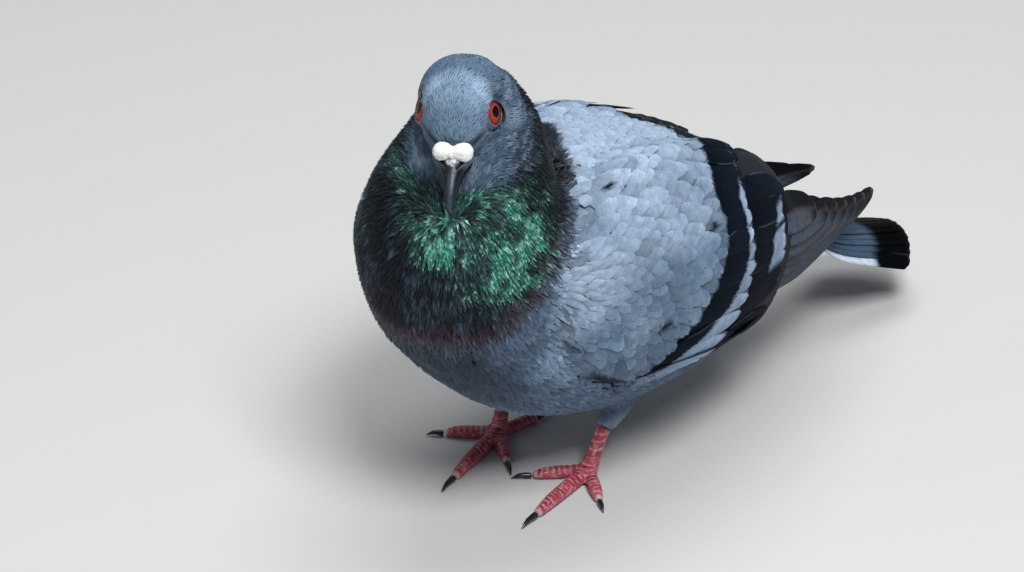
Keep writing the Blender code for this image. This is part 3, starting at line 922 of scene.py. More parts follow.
@dataclass(frozen=True)
class FeatherFinish(Finish):
    """A feather surface: the stored tint, broken up by barbs and a soft mottle; where it gleams,
    painted mint glints are laid into its colour.
    """

    count: float = 26.0
    slant: float = 0.9
    contrast: float = 0.22
    roughness: float = 0.62
    sheen: float = 0.0
    specular: float = 0.16
    bump: float = 0.35
    gleaming: bool = False

    def dress(self, kit: Nodes, shader: bpy.types.Node) -> None:
        """Lays out the material's nodes."""
        tint = kit.add("ShaderNodeAttribute", attribute_name=TINT)
        barbs = kit.add("ShaderNodeGroup", node_tree=barb_group())
        kit.put(barbs, "Count", self.count)
        kit.put(barbs, "Slant", self.slant)
        kit.put(barbs, "Contrast", self.contrast)
        place = kit.add("ShaderNodeTexCoord").outputs["Object"]
        mottle = kit.ramp(kit.noise(place, 420.0, 3.0), 0.3, 0.7, 0.86, 1.14)
        shade = kit.math("MULTIPLY", barbs.outputs["Shade"], mottle)
        colour = kit.tinted(tint.outputs["Color"], shade)
        if self.gleaming:
            gleam = kit.add("ShaderNodeAttribute", attribute_name=GLEAM).outputs["Fac"]
            # painted glints: mint specks laid into the base colour where the feather gleams
            spark = kit.ramp(kit.noise(place, 700.0, 2.0), 0.46, 0.60, 0.0, 1.3)
            fine = kit.ramp(barbs.outputs["Height"], 0.40, 0.60, 0.0, 1.0)
            glint = kit.math("MULTIPLY", kit.math("MULTIPLY", gleam, spark), fine)
            colour = kit.blend(glint, colour, (*Hue.MINT_GLINT, 1.0))
            kit.put(shader, "Metallic", kit.math("MULTIPLY", gleam, 0.55))
            kit.put(shader, "Roughness", kit.ramp(gleam, 0.0, 1.0, self.roughness, 0.36))
        else:
            kit.put(shader, "Roughness", self.roughness)
        kit.put(shader, "Base Color", colour)
        shader.inputs["Sheen Weight"].default_value = self.sheen
        shader.inputs["Sheen Roughness"].default_value = 0.5
        shader.inputs["Specular IOR Level"].default_value = self.specular
        kit.bumped(shader, barbs.outputs["Height"], self.bump, 0.3)


class Plumage(Enum):
    """The feather finishes."""

    HEAD = FeatherFinish("head_feather", count=5.0, slant=0.3, contrast=0.16, sheen=0.03)
    NECK = FeatherFinish("neck_feather", count=9.0, contrast=0.40, roughness=0.5, specular=0.15,
                         gleaming=True)
    BODY = FeatherFinish("body_feather", count=14.0, contrast=0.24, roughness=0.7, sheen=0.03)
    SHIELD = FeatherFinish("shield_feather", count=36.0, contrast=0.17, roughness=0.65,
                           specular=0.08)
    BARRED = FeatherFinish("barred_feather", count=60.0, slant=0.5, contrast=0.12, roughness=0.6,
                           specular=0.02)
    FLIGHT = FeatherFinish("flight_feather", count=95.0, slant=0.35, contrast=0.26, roughness=0.6,
                           specular=0.04)
    TAIL = FeatherFinish("tail_feather", count=95.0, slant=0.3, contrast=0.16, roughness=0.6,
                         specular=0.02)


# ---- feathers


@dataclass(frozen=True)
class Vane:
    """The outline of one kind of feather, as a strip of faces from its root to its tip.

    Across runs from -1 to 1, along from 0 to 1. The end is round, and its faces part into points
    like loose barbs.
    """

    segments: int = 8
    rows: int = 4
    root_width: float = 0.45
    round_end: float = 0.3
    taper: float = 0.0
    fringe: float = 0.08
    splits: int = 0
    split_depth: float = 0.14
    variants: int = 5

    def shape(self, rng: Random) -> Pair:
        """One outline: rows of (across, along), and its faces as vertex numbers."""
        bm = bmesh.new()
        bmesh.ops.create_grid(bm, x_segments=self.segments, y_segments=self.rows, size=1.0)
        bm.verts.index_update()
        places = np.array([vert.co[:2] for vert in bm.verts])
        faces = np.array([[vert.index for vert in face.verts] for face in bm.faces])
        bm.free()
        across, along = places[:, 0], (places[:, 1] + 1) / 2
        width = self.root_width + (1 - self.root_width) * np.sin(
            np.minimum(along / 0.62, 1.0) * math.pi / 2
        )
        width = width * (1 - self.taper * along**2)
        end = along * (1 - self.round_end * np.abs(across) ** 2.4 * along**2)
        column = np.round((across + 1) / 2 * self.segments).astype(int)
        last = along > 0.999
        jag = rng.uniform(0.35, 1.0, self.segments + 1) * self.fringe
        sign = np.where(column % 2 == 0, 1.0, -1.0)
        end = end + np.where(last, sign * jag[column], 0.0) - np.where(last, self.fringe * 0.4, 0.0)
        for _ in range(self.splits):
            where = rng.integers(1, self.segments)
            depth = self.split_depth * rng.uniform(0.5, 1.0)
            end = end - np.where(last & (column == where), depth, 0.0)
        return np.stack([across * width, end], axis=1), faces


@dataclass
class Laid:
    """Feathers of one kind, each with its place on the surface and its size."""

    roots: Array
    ways: Array
    normals: Array
    length: Array
    width: Array
    sink: Array
    lift: Array
    camber: Array
    steps: int = 3
    flatness: float = 0.25

    def spines(self, surface: Surface) -> tuple[Array, ...]:
        """Walks each feather's middle line over the surface.

        Args:
            surface: what the feathers lie on.

        Returns:
            Points, ways and normals, each one row for every step of every feather, and the share
            of each feather's steps that left the surface.
        """
        count = len(self.roots)
        shape = (count, self.steps + 1, 3)
        points, ways, normals = np.zeros(shape), np.zeros(shape), np.zeros(shape)
        off = np.zeros(count)
        for i in range(count):
            point, way, normal = self.roots[i], self.ways[i], self.normals[i]
            stride = self.length[i] / self.steps
            points[i, 0], ways[i, 0], normals[i, 0] = point, way, normal
            for k in range(1, self.steps + 1):
                ahead = point + way * stride
                place, facing = surface.drop(ahead)
                if facing @ normal > self.flatness:
                    point = place
                    normal = unit(0.4 * normal + 0.6 * facing)
                else:
                    point = ahead
                    off[i] += 1 / self.steps
                way = unit(way - normal * (way @ normal))
                points[i, k], ways[i, k], normals[i, k] = point, way, normal
        return points, ways, normals, off


@dataclass
class FeatherBed:
    """One coat piece: feathers joined into one mesh, with colours and maps."""

    name: str
    finish: Plumage
    slot: str
    straightest: float = 0.45
    loosest: float = 0.4
    parts: list[tuple[Array, ...]] = field(default_factory=list)

    def lay(
        self,
        vane: Vane,
        laid: Laid,
        surface: Surface,
        paint: Paint,
        unwrap: Callable[[Array], Array],
        rng: Random,
    ) -> None:
        """Adds feathers.

        Args:
            vane: their outline.
            laid: their places and sizes.
            surface: what they lie on.
            paint: gives colours and gleams from vertex places, and across and along.
            unwrap: gives a point's place on the unwrapped skin.
            rng: the source of their differences.
        """
        if not len(laid.roots):
            return
        points, ways, normals, off = laid.spines(surface)
        shapes = [vane.shape(rng) for _ in range(vane.variants)]
        pick = rng.integers(0, len(shapes), len(laid.roots))
        bent = (normals[:, 0] * normals[:, -1]).sum(-1) < self.straightest
        pick[bent | (off > self.loosest)] = -1
        for number, (outline, faces) in enumerate(shapes):
            rows = np.flatnonzero(pick == number)
            if not len(rows):
                continue
            across, along = outline[:, 0], outline[:, 1]
            at = np.clip(along, 0, 1) * laid.steps
            low = np.minimum(at.astype(int), laid.steps - 1)
            share = (at - low)[None, :, None]
            picked = [array[rows] for array in (points, ways, normals)]
            middle, way, normal = (
                array[:, low] * (1 - share) + array[:, low + 1] * share for array in picked
            )
            beyond = np.clip(along - 1, 0, None)[None, :, None] * laid.length[rows][:, None, None]
            middle = middle + way * beyond
            side = unit(np.cross(way, normal))
            half = laid.width[rows][:, None] / 2
            sink, lift = laid.sink[rows][:, None], laid.lift[rows][:, None]
            rise = -sink + (sink + lift) * np.clip(along, 0, 1.2)[None] ** 0.8
            rise = rise - laid.camber[rows][:, None] * half * (across**2)[None]
            place = middle + side * (across[None] * half)[..., None] + normal * rise[..., None]
            tint, gleam = paint(place, across, along, rows)
            spot = unwrap(laid.roots[rows])[:, None, :]
            patch = np.stack([across / 2, along - 0.5], axis=1)[None] * BAKE_PATCH
            local = np.stack([across / 2 + 0.5, along], axis=1)[None]
            shift = rng.uniform(0, BARB_PATTERNS, (len(rows), 1)).round()
            vane_uv = np.broadcast_to(local, place.shape[:2] + (2,)).copy()
            vane_uv[..., 1] += shift
            self.parts.append((place, faces, tint, gleam, spot + patch, vane_uv))

    def build(self, thickness: float = 0.0) -> bpy.types.Object:
        """Joins the feathers into one mesh.

        Args:
            thickness: of each vane in millimetres, or none for a single sheet.

        Returns:
            The piece.
        """
        places, corners, tints, gleams, bakes, vanes, count = [], [], [], [], [], [], 0
        for place, faces, tint, gleam, bake, vane in self.parts:
            number, verts = place.shape[:2]
            offset = count + np.arange(number)[:, None, None] * verts
            corners.append((faces[None] + offset).reshape(-1, 4))
            places.append(place.reshape(-1, 3))
            tints.append(np.broadcast_to(tint, place.shape).reshape(-1, 3))
            gleams.append(np.broadcast_to(gleam, place.shape[:2]).reshape(-1))
            bakes.append(np.broadcast_to(bake, place.shape[:2] + (2,)).reshape(-1, 2))
            vanes.append(vane.reshape(-1, 2))
            count += number * verts
        corner = np.concatenate(corners).ravel()
        mesh = bpy.data.meshes.new(self.name)
        mesh.vertices.add(count)
        mesh.vertices.foreach_set("co", (np.concatenate(places) * MM).ravel())
        mesh.loops.add(len(corner))
        mesh.loops.foreach_set("vertex_index", corner.astype(np.int32))
        mesh.polygons.add(len(corner) // 4)
        mesh.polygons.foreach_set("loop_start", np.arange(0, len(corner), 4, dtype=np.int32))
        mesh.update(calc_edges=True)
        mesh.validate()
        for name, rows in ((VANE_MAP, vanes), (BAKE_MAP, bakes)):
            uv = mesh.uv_layers.new(name=name)
            uv.data.foreach_set("uv", np.concatenate(rows)[corner].ravel())
        write_tint(mesh, np.concatenate(tints), np.concatenate(gleams))
        mesh.shade_smooth()
        mesh.materials.append(self.finish.value.material())
        obj = linked(self.name, mesh)
        if thickness:
            solid = obj.modifiers.new("Thickness", "SOLIDIFY")
            solid.thickness = thickness * MM
            solid.offset = -1.0
        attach(obj, BODY)
        log.info("%s: %d triangles", self.name, len(corner) // 2)
        return obj


@dataclass(frozen=True)
class Unwrap:
    """Opens the skin along its underside: round the middle line, and along it."""

    margin: float = 0.03
    low: tuple[float, float] = (0.0, 0.0)
    high: tuple[float, float] = (1.0, 1.0)

    @staticmethod
    def raw(points: Array) -> Array:
        """Turn round the middle line and distance along it, each from 0 to 1."""
        knots, _ = SPINE.line()
        gaps = ((points[:, None, :] - knots[None]) ** 2).sum(-1)
        weights = 1.0 / (gaps + 4.0) ** 3
        weights = weights / weights.sum(1, keepdims=True)
        along = weights @ np.linspace(0, 1, len(knots))
        centre = weights @ knots
        out = points - centre
        turn = np.arctan2(out[:, 0], out[:, 2] + 0.5 * out[:, 1] * (along < 0.35))
        return np.stack([turn / (2 * math.pi) + 0.5, along], axis=1)

    @classmethod
    def fitted(cls, points: Array) -> Unwrap:
        """An unwrap in which those points fill the whole map."""
        raw = cls.raw(points)
        return cls(low=tuple(raw.min(0)), high=tuple(raw.max(0) + 1e-6))

    def __call__(self, points: Array) -> Array:
        """Each point's place on the map."""
        share = (self.raw(points) - np.array(self.low)) / (np.array(self.high) - np.array(self.low))
        return self.margin + np.clip(share, 0, 1) * (1 - 2 * self.margin)


def scatter(source: bpy.types.Object, spacing: float, seed: int) -> Pair:
    """Spreads points over a mesh, none nearer to another than the spacing.

    Args:
        source: the mesh.
        spacing: in millimetres.
        seed: picks the pattern.

    Returns:
        The points and the surface normals at them.
    """
    tree = bpy.data.node_groups.new("Scatter", "GeometryNodeTree")
    socket(tree, "Geometry", "NodeSocketGeometry", "INPUT")
    socket(tree, "Geometry", "NodeSocketGeometry", "OUTPUT")
    kit = Nodes(tree)
    inside, outside = kit.add("NodeGroupInput"), kit.add("NodeGroupOutput")
    spread = kit.add("GeometryNodeDistributePointsOnFaces", distribute_method="POISSON")
    kit.put(spread, "Distance Min", spacing * MM)
    kit.put(spread, "Density Max", 3.0 / (spacing * MM) ** 2)
    kit.put(spread, "Seed", seed)
    keep = kit.add("GeometryNodeStoreNamedAttribute", data_type="FLOAT_VECTOR", domain="POINT")
    kit.put(keep, "Name", "facing")
    to_verts = kit.add("GeometryNodePointsToVertices")
    tree.links.new(inside.outputs[0], spread.inputs["Mesh"])
    tree.links.new(spread.outputs["Points"], keep.inputs["Geometry"])
    tree.links.new(spread.outputs["Normal"], keep.inputs["Value"])
    tree.links.new(keep.outputs[0], to_verts.inputs[0])
    tree.links.new(to_verts.outputs[0], outside.inputs[0])
    step = source.modifiers.new("Scatter", "NODES")
    step.node_group = tree
    depsgraph = bpy.context.evaluated_depsgraph_get()
    mesh = bpy.data.meshes.new_from_object(source.evaluated_get(depsgraph))
    points = read(mesh.vertices, "co") / MM
    normals = unit(read(mesh.attributes["facing"].data, "vector"))
    source.modifiers.remove(step)
    bpy.data.meshes.remove(mesh)
    bpy.data.node_groups.remove(tree)
    return points, normals


# ---- where the eyes are


@dataclass(frozen=True)
class EyePlace:
    """The opening of the eyelids: a ring about the way the eye looks."""

    shift: tuple[float, float, float] = (-0.7, 0.0, 0.7)
    look: tuple[float, float, float] = (0.12, 1.0, 0.5)
    opening: float = 3.85
    rim_height: float = 3.2

    def centre(self, side: int) -> Array:
        """The ball's middle."""
        middle = sum(np.array(corner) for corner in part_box(f"eye_{NAMES[side]}")) / 2 / MM
        return middle + np.array(self.shift) @ HEAD.turn()

    def axis(self, side: int) -> Array:
        """Where the eye looks."""
        forward, left, up = self.look
        return unit(HEAD.forward * forward + HEAD.left * left * side + HEAD.up * up)

    def reach(self, points: Array) -> Array:
        """Distance from the nearer eye's axis, on its outer side."""
        found = []
        for side in NAMES:
            out = points - self.centre(side)
            along = out @ self.axis(side)
            gap = np.sqrt(np.maximum((out**2).sum(-1) - along**2, 0))
            found.append(np.where(along > 0, gap, 99.0))
        return np.minimum(*found)


EYE_PLACE = EyePlace()


# ---- skin and body coat


FLESH = ("head", "neck", "trunk", "wing_left", "wing_right", "thigh_left", "thigh_right")


@dataclass(frozen=True)
class Zone:
    """One stretch of the body coat: where it lies and how its feathers are."""

    name: str
    finish: Plumage
    slot: str
    spacing: float
    length: float
    width: float
    vane: Vane
    sink: float
    lift: float
    camber: float
    seed: int
    tone: float = 0.07
    rim: float = 0.16
    # painted shade towards each feather's root
    root: float = 0.22
    turn: float = 0.10
    pale: float = 0.0
    droop: float = 0.0


@dataclass
class Pelt:
    """The outer shape of the plumage, the skin under it and the small feathers between."""

    rng: Random
    voxel: float = 1.15
    fold: float = 7.0
    coat_depth: float = 1.6
    face_depth: float = 0.7
    barb_repeats: int = 60
    root_back: float = 0.45
    bare_reach: float = 4.95
    # painted shade: the skin is darkened by this factor, as it shows only in the gaps under the
    # feathers
    shade: float = 0.75
    skin_gleam: float = 0.3
    swells: tuple = (((14.9, -96.2, 164.2), 5.0, 1.2), ((24.5, -90.2, 155.8), 7.0, -2.5))

    def __post_init__(self) -> None:
        """Makes the outer shape."""
        self.shape = remeshed("skin", FLESH, self.voxel, 5)
        points, normals = mesh_points(self.shape)
        for place, reach, height in self.swells:
            points = points + normals * (height * near(points, place, reach))[:, None]
        move_points(self.shape, points)
        self.points, self.normals = mesh_points(self.shape)
        self.surface = Surface(self.points, mesh_triangles(self.shape))
        self.parts = Surface.of_nodes(*FLESH)
        self.wings = Surface.of_nodes("wing_left", "wing_right")
        sizes = [len(node_arrays(name)[1]) for name in FLESH]
        self.part_names = np.repeat(np.array(FLESH), sizes)
        self.head_label = self.head_share(self.points)

    @staticmethod
    def head_share(points: Array) -> Array:
        """One on the head's short feathers, falling to nothing where the neck's begin."""
        local = HEAD.local(points)
        reach = np.sqrt(
            (local[..., 0] + 1.0) ** 2 + local[..., 1] ** 2 + (local[..., 2] * 1.05) ** 2
        )
        low = blend(-1.0, -12.0, local[..., 2]) * blend(-9.0, 3.0, local[..., 0])
        edge = 19.2 + 5.0 * low + 0.10 * local[..., 1] + 2.6 * (noise(points, 4.0, 21) - 0.5)
        return blend(edge + 3.0, edge - 3.0, reach)

    def labels(self, points: Array) -> Array:
        """The nearest flesh node of each point."""
        found = [self.parts.tree.find_nearest(Vector(point))[2] for point in points]
        return self.part_names[found]

    def wing_gap(self, points: Array) -> Array:
        """Distance from each point to the nearer wing."""
        return self.wings.gap(points)

    def skin(self) -> bpy.types.Object:
        """One skin over all the flesh, inside the feather tips by the coat's depth, its colour
        darkened as painted shade.
        """
        depth = self.coat_depth + (self.face_depth - self.coat_depth) * self.head_label
        move_points(self.shape, self.points - self.normals * depth[:, None])
        tint, gleam = MARKINGS.body(self.points, self.head_label, self.wing_gap(self.points))
        wing = np.isin(self.labels(self.points), ("wing_left", "wing_right"))
        # painted shade on the skin between the feathers
        tint = np.where(wing[:, None], MARKINGS.wing(self.points), tint) * self.shade
        mesh = self.shape.data
        write_tint(mesh, tint, gleam * self.skin_gleam)
        corner = read(mesh.loops, "vertex_index", 1, np.int64)[:, 0]
        uv = mesh.uv_layers.new(name=VANE_MAP)
        uv.data.foreach_set("uv", (Unwrap()(self.points) * self.barb_repeats)[corner].ravel())
        mesh.materials.clear()
        mesh.materials.append(Plumage.BODY.value.material())
        mesh.shade_smooth()
        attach(self.shape, BODY)
        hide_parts(*FLESH)
        return self.shape

    def zone(self, zone: Zone, wanted: Callable[[Array, Array], Array]) -> None:
        """Covers one stretch of the body in feathers.

        Args:
            zone: how its feathers are.
            wanted: picks the points, from their places and their nodes' names.
        """
        points, normals = scatter(self.shape, zone.spacing, zone.seed)
        if not len(points):
            return
        labels = self.labels(points)
        clear = self.surface.open(points, normals, self.fold) | (zone.pale > 0)
        keep = wanted(points, labels) & clear
        points, normals = points[keep], normals[keep]
        rng, count = self.rng, int(keep.sum())
        ways = SPINE.flow(points, normals) - zone.droop * np.array([0.0, 0.0, 1.0])
        ways = flattened(ways, normals)
        sides = np.cross(ways, normals)
        ways = unit(ways + sides * rng.normal(0, zone.turn, (count, 1)))
        gap = self.wing_gap(points)
        free = 0.45 + 0.55 * blend(0.0, 9.0, gap)
        size = rng.uniform(0.86, 1.16, count) * free
        laid = Laid(
            roots=points - ways * (zone.length * self.root_back * size)[:, None],
            ways=ways,
            normals=normals,
            length=zone.length * size,
            width=zone.width * rng.uniform(0.88, 1.14, count),
            sink=np.full(count, zone.sink),
            lift=zone.lift * rng.uniform(0.5, 1.3, count) * (1.5 * free - 0.5),
            camber=np.full(count, zone.camber),
        )
        for i in range(count):
            place, facing = self.surface.drop(laid.roots[i])
            laid.roots[i], laid.normals[i] = place, facing
            laid.ways[i] = unit(ways[i] - facing * (ways[i] @ facing))
        tone = np.exp(rng.normal(0.0, zone.tone, count))
        tints, gleams = MARKINGS.body(points, self.head_share(points), gap)
        tints = mix(tints, Hue.THIGH, zone.pale * blend(24.0, 14.0, points[:, 2]))

        def paint(place: Array, across: Array, along: Array, rows: Array) -> Pair:
            """Markings at each feather's visible middle, paler at its rim, with painted shade
            towards its root.
            """
            tint, gleam = tints[rows], gleams[rows]
            # painted shade: darker towards the root, where the feather before it shades it
            rim = 1.0 + zone.rim * blend(0.7, 1.0, along) - zone.root * blend(0.6, 0.1, along)
            tint = tint[:, None, :] * (tone[rows][:, None] * rim[None])[..., None]
            gleam = gleam[:, None] * (tone[rows] ** 2.5)[:, None] * blend(0.35, 0.8, along)[None]
            return tint, gleam

        bed = FeatherBed(zone.name, zone.finish, zone.slot)
        bed.lay(zone.vane, laid, self.surface, paint, Unwrap.fitted(points), rng)
        bed.build()

    def zones(self) -> None:
        """Covers head, neck, breast, belly, back and thighs."""
        hair = Vane(segments=2, rows=2, fringe=0.10, root_width=0.6, taper=0.35)
        hackle = Vane(segments=4, rows=3, fringe=0.26, round_end=0.35, taper=0.15)
        down = Vane(segments=6, rows=3, fringe=0.15, round_end=0.35)
        plate = Vane(segments=8, rows=4, fringe=0.04, round_end=0.45)
        head = self.head_share

        def clear_of_bare_parts(points: Array) -> Array:
            """False on the eyes, lids and the root of the bill."""
            local = HEAD.local(points)
            bill = (local[:, 0] > 10.8) & (np.abs(local[:, 1]) < 5.3) & (local[:, 2] > -4.5)
            return (EYE_PLACE.reach(points) > self.bare_reach) & ~bill

        def on_body(labels: Array) -> Array:
            """True away from the wings."""
            return ~np.char.startswith(labels, "wing")

        zones = (
            (
                Zone("coat_head", Plumage.HEAD, "head_feathers", 0.58, 2.3, 0.60, hair,
                     0.40, 0.03, 0.10, 1, tone=0.08, rim=0.12, root=0.15, turn=0.11),
                lambda p, n: (head(p) > 0.5) & clear_of_bare_parts(p) & on_body(n),
            ),
            (
                Zone("coat_neck", Plumage.NECK, "neck_feathers", 0.98, 4.2, 1.15, hackle,
                     0.9, 0.28, 0.30, 2, tone=0.38, rim=0.55, root=0.50, turn=0.15),
                lambda p, n: (head(p) <= 0.5) & (MARKINGS.bib(p) > 0) & on_body(n),
            ),
            (
                Zone("coat_breast", Plumage.BODY, "belly_feathers", 1.75, 6.8, 2.3, down,
                     1.0, 0.14, 0.25, 3, tone=0.13, rim=0.16, root=0.28, turn=0.13),
                lambda p, n: (MARKINGS.bib(p) <= 0) & (p[:, 2] < MARKINGS.back_edge(p[:, 1]))
                & on_body(n) & ~np.char.startswith(n, "thigh"),
            ),
            (
                Zone("coat_back", Plumage.SHIELD, "belly_feathers", 2.7, 8.5, 4.6, plate,
                     1.0, 0.10, 0.22, 4, tone=0.06, rim=0.12, root=0.22),
                lambda p, n: (MARKINGS.bib(p) <= 0) & (p[:, 2] >= MARKINGS.back_edge(p[:, 1]))
                & on_body(n),
            ),
            (
                Zone("coat_thighs", Plumage.BODY, "belly_feathers", 1.1, 3.6, 1.7, down,
                     0.8, 0.05, 0.2, 5, tone=0.12, pale=0.9, droop=3.0),
                lambda p, n: np.char.startswith(n, "thigh"),
            ),
        )
        for zone, wanted in zones:
            self.zone(zone, wanted)


# ---- wings


@dataclass
class Wing:
    """One folded wing: rows of coverts, secondaries, and the primaries past them."""

    name: str
    pelt: Surface
    rng: Random
    lesser_from: float = -99.0
    lesser_to: float = -18.4
    row_gap: tuple[float, float] = (2.0, 7.0)
    cover: float = 0.9
    start_heights: tuple[float, ...] = (76, 68, 84, 60)
    most_steps: int = 40
    folded_over: float = 0.35
    off_level: float = 2.5
    same_side: float = 0.2
    turn: float = 0.06
    seen_part: float = 0.7
    drift: tuple[float, float] = (0.09, 0.10)

    def __post_init__(self) -> None:
        """Reads the surfaces that its feathers lie on."""
        self.side = SIDES[self.name]
        wing, primaries = f"wing_{self.name}", f"primaries_{self.name}"
        self.shell = Surface.of_nodes(wing)
        self.neck = Surface.of_nodes("neck", "head")
        self.outer = Surface.of_nodes(wing, primaries, "trunk")
        self.blade = Surface.of_nodes(wing, primaries)

    def seed_point(self, level: float, z: float) -> Pair | None:
        """The wing's outside at a row and a height."""
        ys = np.linspace(-120.0, 60.0, 361)
        y = np.interp(level, WING_MAP.level(ys, WING_MAP.drop(np.array([0.0, 0.0, z]))), ys)
        return self.shell.seen_from(self.side, y, z)

    def trace(self, level: float, gap: float) -> Pair:
        """Places along one row, from its top to its lower end.

        Args:
            level: how far back the row lies.
            gap: between its feathers.

        Returns:
            The places and normals.
        """
        hits = (self.seed_point(level, z) for z in self.start_heights)
        start = next((hit for hit in hits if hit), None)
        if start is None:
            return np.zeros((0, 3)), np.zeros((0, 3))
        halves = []
        for turn in (1, -1):
            point, normal = start
            half = [(point, normal)]
            for _ in range(self.most_steps):
                way = WING_MAP.way(point)
                way = unit(way - normal * (way @ normal))
                along = np.cross(normal, way) * turn * self.side
                place, facing = self.shell.drop(point + along * gap)
                stuck = np.linalg.norm(place - point) < 0.5 * gap
                if facing @ normal < self.folded_over or stuck:
                    break
                for _ in range(2):
                    slip = level - WING_MAP.back(place)
                    way = WING_MAP.growth(place)
                    way = way - facing * (way @ facing)
                    step = np.clip(slip / max(way @ way, 0.1), -6.0, 6.0)
                    place, facing = self.shell.drop(place + way * step)
                lost = abs(level - WING_MAP.back(place)) > self.off_level
                if facing @ normal < self.folded_over or lost:
                    break
                point, normal = place, facing
                half.append((point, normal))
            halves.append(half)
        row = [spot for spot in halves[1][:0:-1] + halves[0] if self.shows(spot[0])]
        return np.array([place for place, _ in row]), np.array([facing for _, facing in row])

    def shows(self, point: Array) -> bool:
        """False where the body's plumage covers the wing."""
        place, facing = self.pelt.drop(point)
        return (place - point) @ facing < self.cover

    def row(
        self,
        level: float,
        gap: float,
        length: float,
        width: float,
        surface: Surface,
        past: tuple[int, int] | None = None,
    ) -> Laid | None:
        """Feathers whose tips end at one level.

        Args:
            level: of their tips.
            gap: between them.
            length: of each, or how much more than the breadth between two lines.
            width: of each.
            surface: what they lie on.
            past: those two lines of the wing's map; such feathers point straight back.

        Returns:
            The feathers, or None where the wing has none there.
        """
        tips, normals = self.trace(level, gap)
        if len(tips) < 2:
            return None
        rng, count = self.rng, len(tips)
        ways = WING_MAP.way(tips)
        if past is not None:
            length = length + WING_MAP.breadth(tips, *past)
            ways = np.tile(np.array([0.0, 1.0, 0.0]), (count, 1))
        ways = flattened(ways, normals)
        sides = np.cross(ways, normals)
        ways = unit(ways + sides * rng.normal(0, self.turn, (count, 1)))
        tips = tips + ways * rng.normal(0, self.drift[0] * gap, (count, 1))
        tips = tips + sides * rng.normal(0, self.drift[1] * gap, (count, 1))
        size = rng.uniform(0.95, 1.06, count)
        roots = tips - ways * (length * size)[:, None]
        for i in range(count):
            place, facing = surface.drop(roots[i])
            if facing @ normals[i] > self.same_side:
                roots[i], normals[i] = place, facing
            ways[i] = unit(tips[i] - roots[i])
            ways[i] = unit(ways[i] - normals[i] * (ways[i] @ normals[i]))
        return Laid(
            roots=roots,
            ways=ways,
            normals=normals,
            length=length * size,
            width=width * rng.uniform(0.94, 1.08, count),
            sink=np.full(count, 1.0),
            lift=rng.uniform(0.08, 0.30, count) * min(1.0, gap / 4.0),
            camber=rng.uniform(0.10, 0.20, count),
        )

    def shield(self) -> None:
        """Rows of lesser and median coverts, finest at the shoulder."""
        bed = FeatherBed(f"coverts_{self.name}", Plumage.SHIELD, "wing_feathers")
        streak = Vane(segments=4, rows=3, fringe=0.05, round_end=0.6, taper=0.2)
        soft = Vane(segments=8, rows=4, fringe=0.035, round_end=0.7)
        plate = Vane(segments=12, rows=6, fringe=0.02, round_end=0.72, splits=1, split_depth=0.06)
        level = self.lesser_from
        placed = []
        while level < self.lesser_to - 2.0:
            share = (level - self.lesser_from) / (self.lesser_to - self.lesser_from)
            gap = between(self.row_gap, share)
            narrow = 1.25 + 0.45 * blend(0.1, 0.5, share)
            laid = self.row(level, gap * narrow * 0.66, gap * 3.1, gap * narrow, self.pelt)
            if laid is not None:
                vane = streak if share < 0.3 else soft if share < 0.55 else plate
                placed.append((laid, vane, share))
            level += gap
        last = self.row(self.lesser_to, 6.0, 15.0, 9.2, self.pelt)
        placed.append((last, plate, 1.0))
        spots = np.concatenate([laid.roots for laid, _, _ in placed])
        unwrap = Unwrap.fitted(spots)
        for laid, vane, share in placed:
            crisp = 0.25 + 0.75 * blend(0.15, 0.75, share)
            bed.lay(vane, laid, self.pelt, self.painter(laid, 0.20, crisp), unwrap, self.rng)
        bed.build()

    def painter(self, laid: Laid, rim: float, crisp: float = 1.0) -> Paint:
        """Wing markings for a row, with a paler rim on each feather, painted shade towards its root
        and sides, and painted shade near the neck.

        Args:
            laid: the row.
            rim: how much paler.
            crisp: how clearly the feathers stand out from one another.

        Returns:
            The painting function.
        """
        tone = np.exp(self.rng.normal(0.0, 0.12 * crisp, len(laid.roots)))
        spots = laid.roots + laid.ways * (laid.length * self.seen_part)[:, None]
        near_neck = self.neck.gap(spots) + 2.5 * (noise(spots, 4.0, 15) - 0.5)
        # partly the shoulder's slate and partly painted shade: coverts near the neck are darkened,
        # in the groove between wing and neck
        shaded = 0.85 * blend(6.0, 1.5, near_neck)

        def paint(place: Array, across: Array, along: Array, rows: Array) -> Pair:
            """Colours from each vertex's own place, shaded by where it is on its feather."""
            tint = mix(MARKINGS.wing(place), Hue.SHOULDER, shaded[rows][:, None])
            end = blend(0.86, 1.0, along)
            edge = np.maximum(end, 0.8 * blend(0.72, 1.0, np.abs(across)))
            # painted shadow: darker towards the root and the sides, where the feather before it lies
            # over it
            shadow = 0.38 * blend(0.75, 0.3, along) + 0.22 * blend(0.8, 1.0, np.abs(across))
            change = crisp * (rim * edge - shadow * (1 - end))
            light = tone[rows][:, None] * (1 + change)[None]
            tint = tint * light[..., None]
            dark = blend(0.10, 0.03, tint.mean(-1))
            line = blend(0.88, 0.97, np.abs(across)) * blend(0.15, 0.4, along)
            return mix(tint, Hue.BAR_RIM, 0.65 * dark * line[None]), np.zeros(1)

        return paint

    def build(self) -> None:
        """Makes the wing's coverts and secondaries."""
        self.shield()
        self.bars()

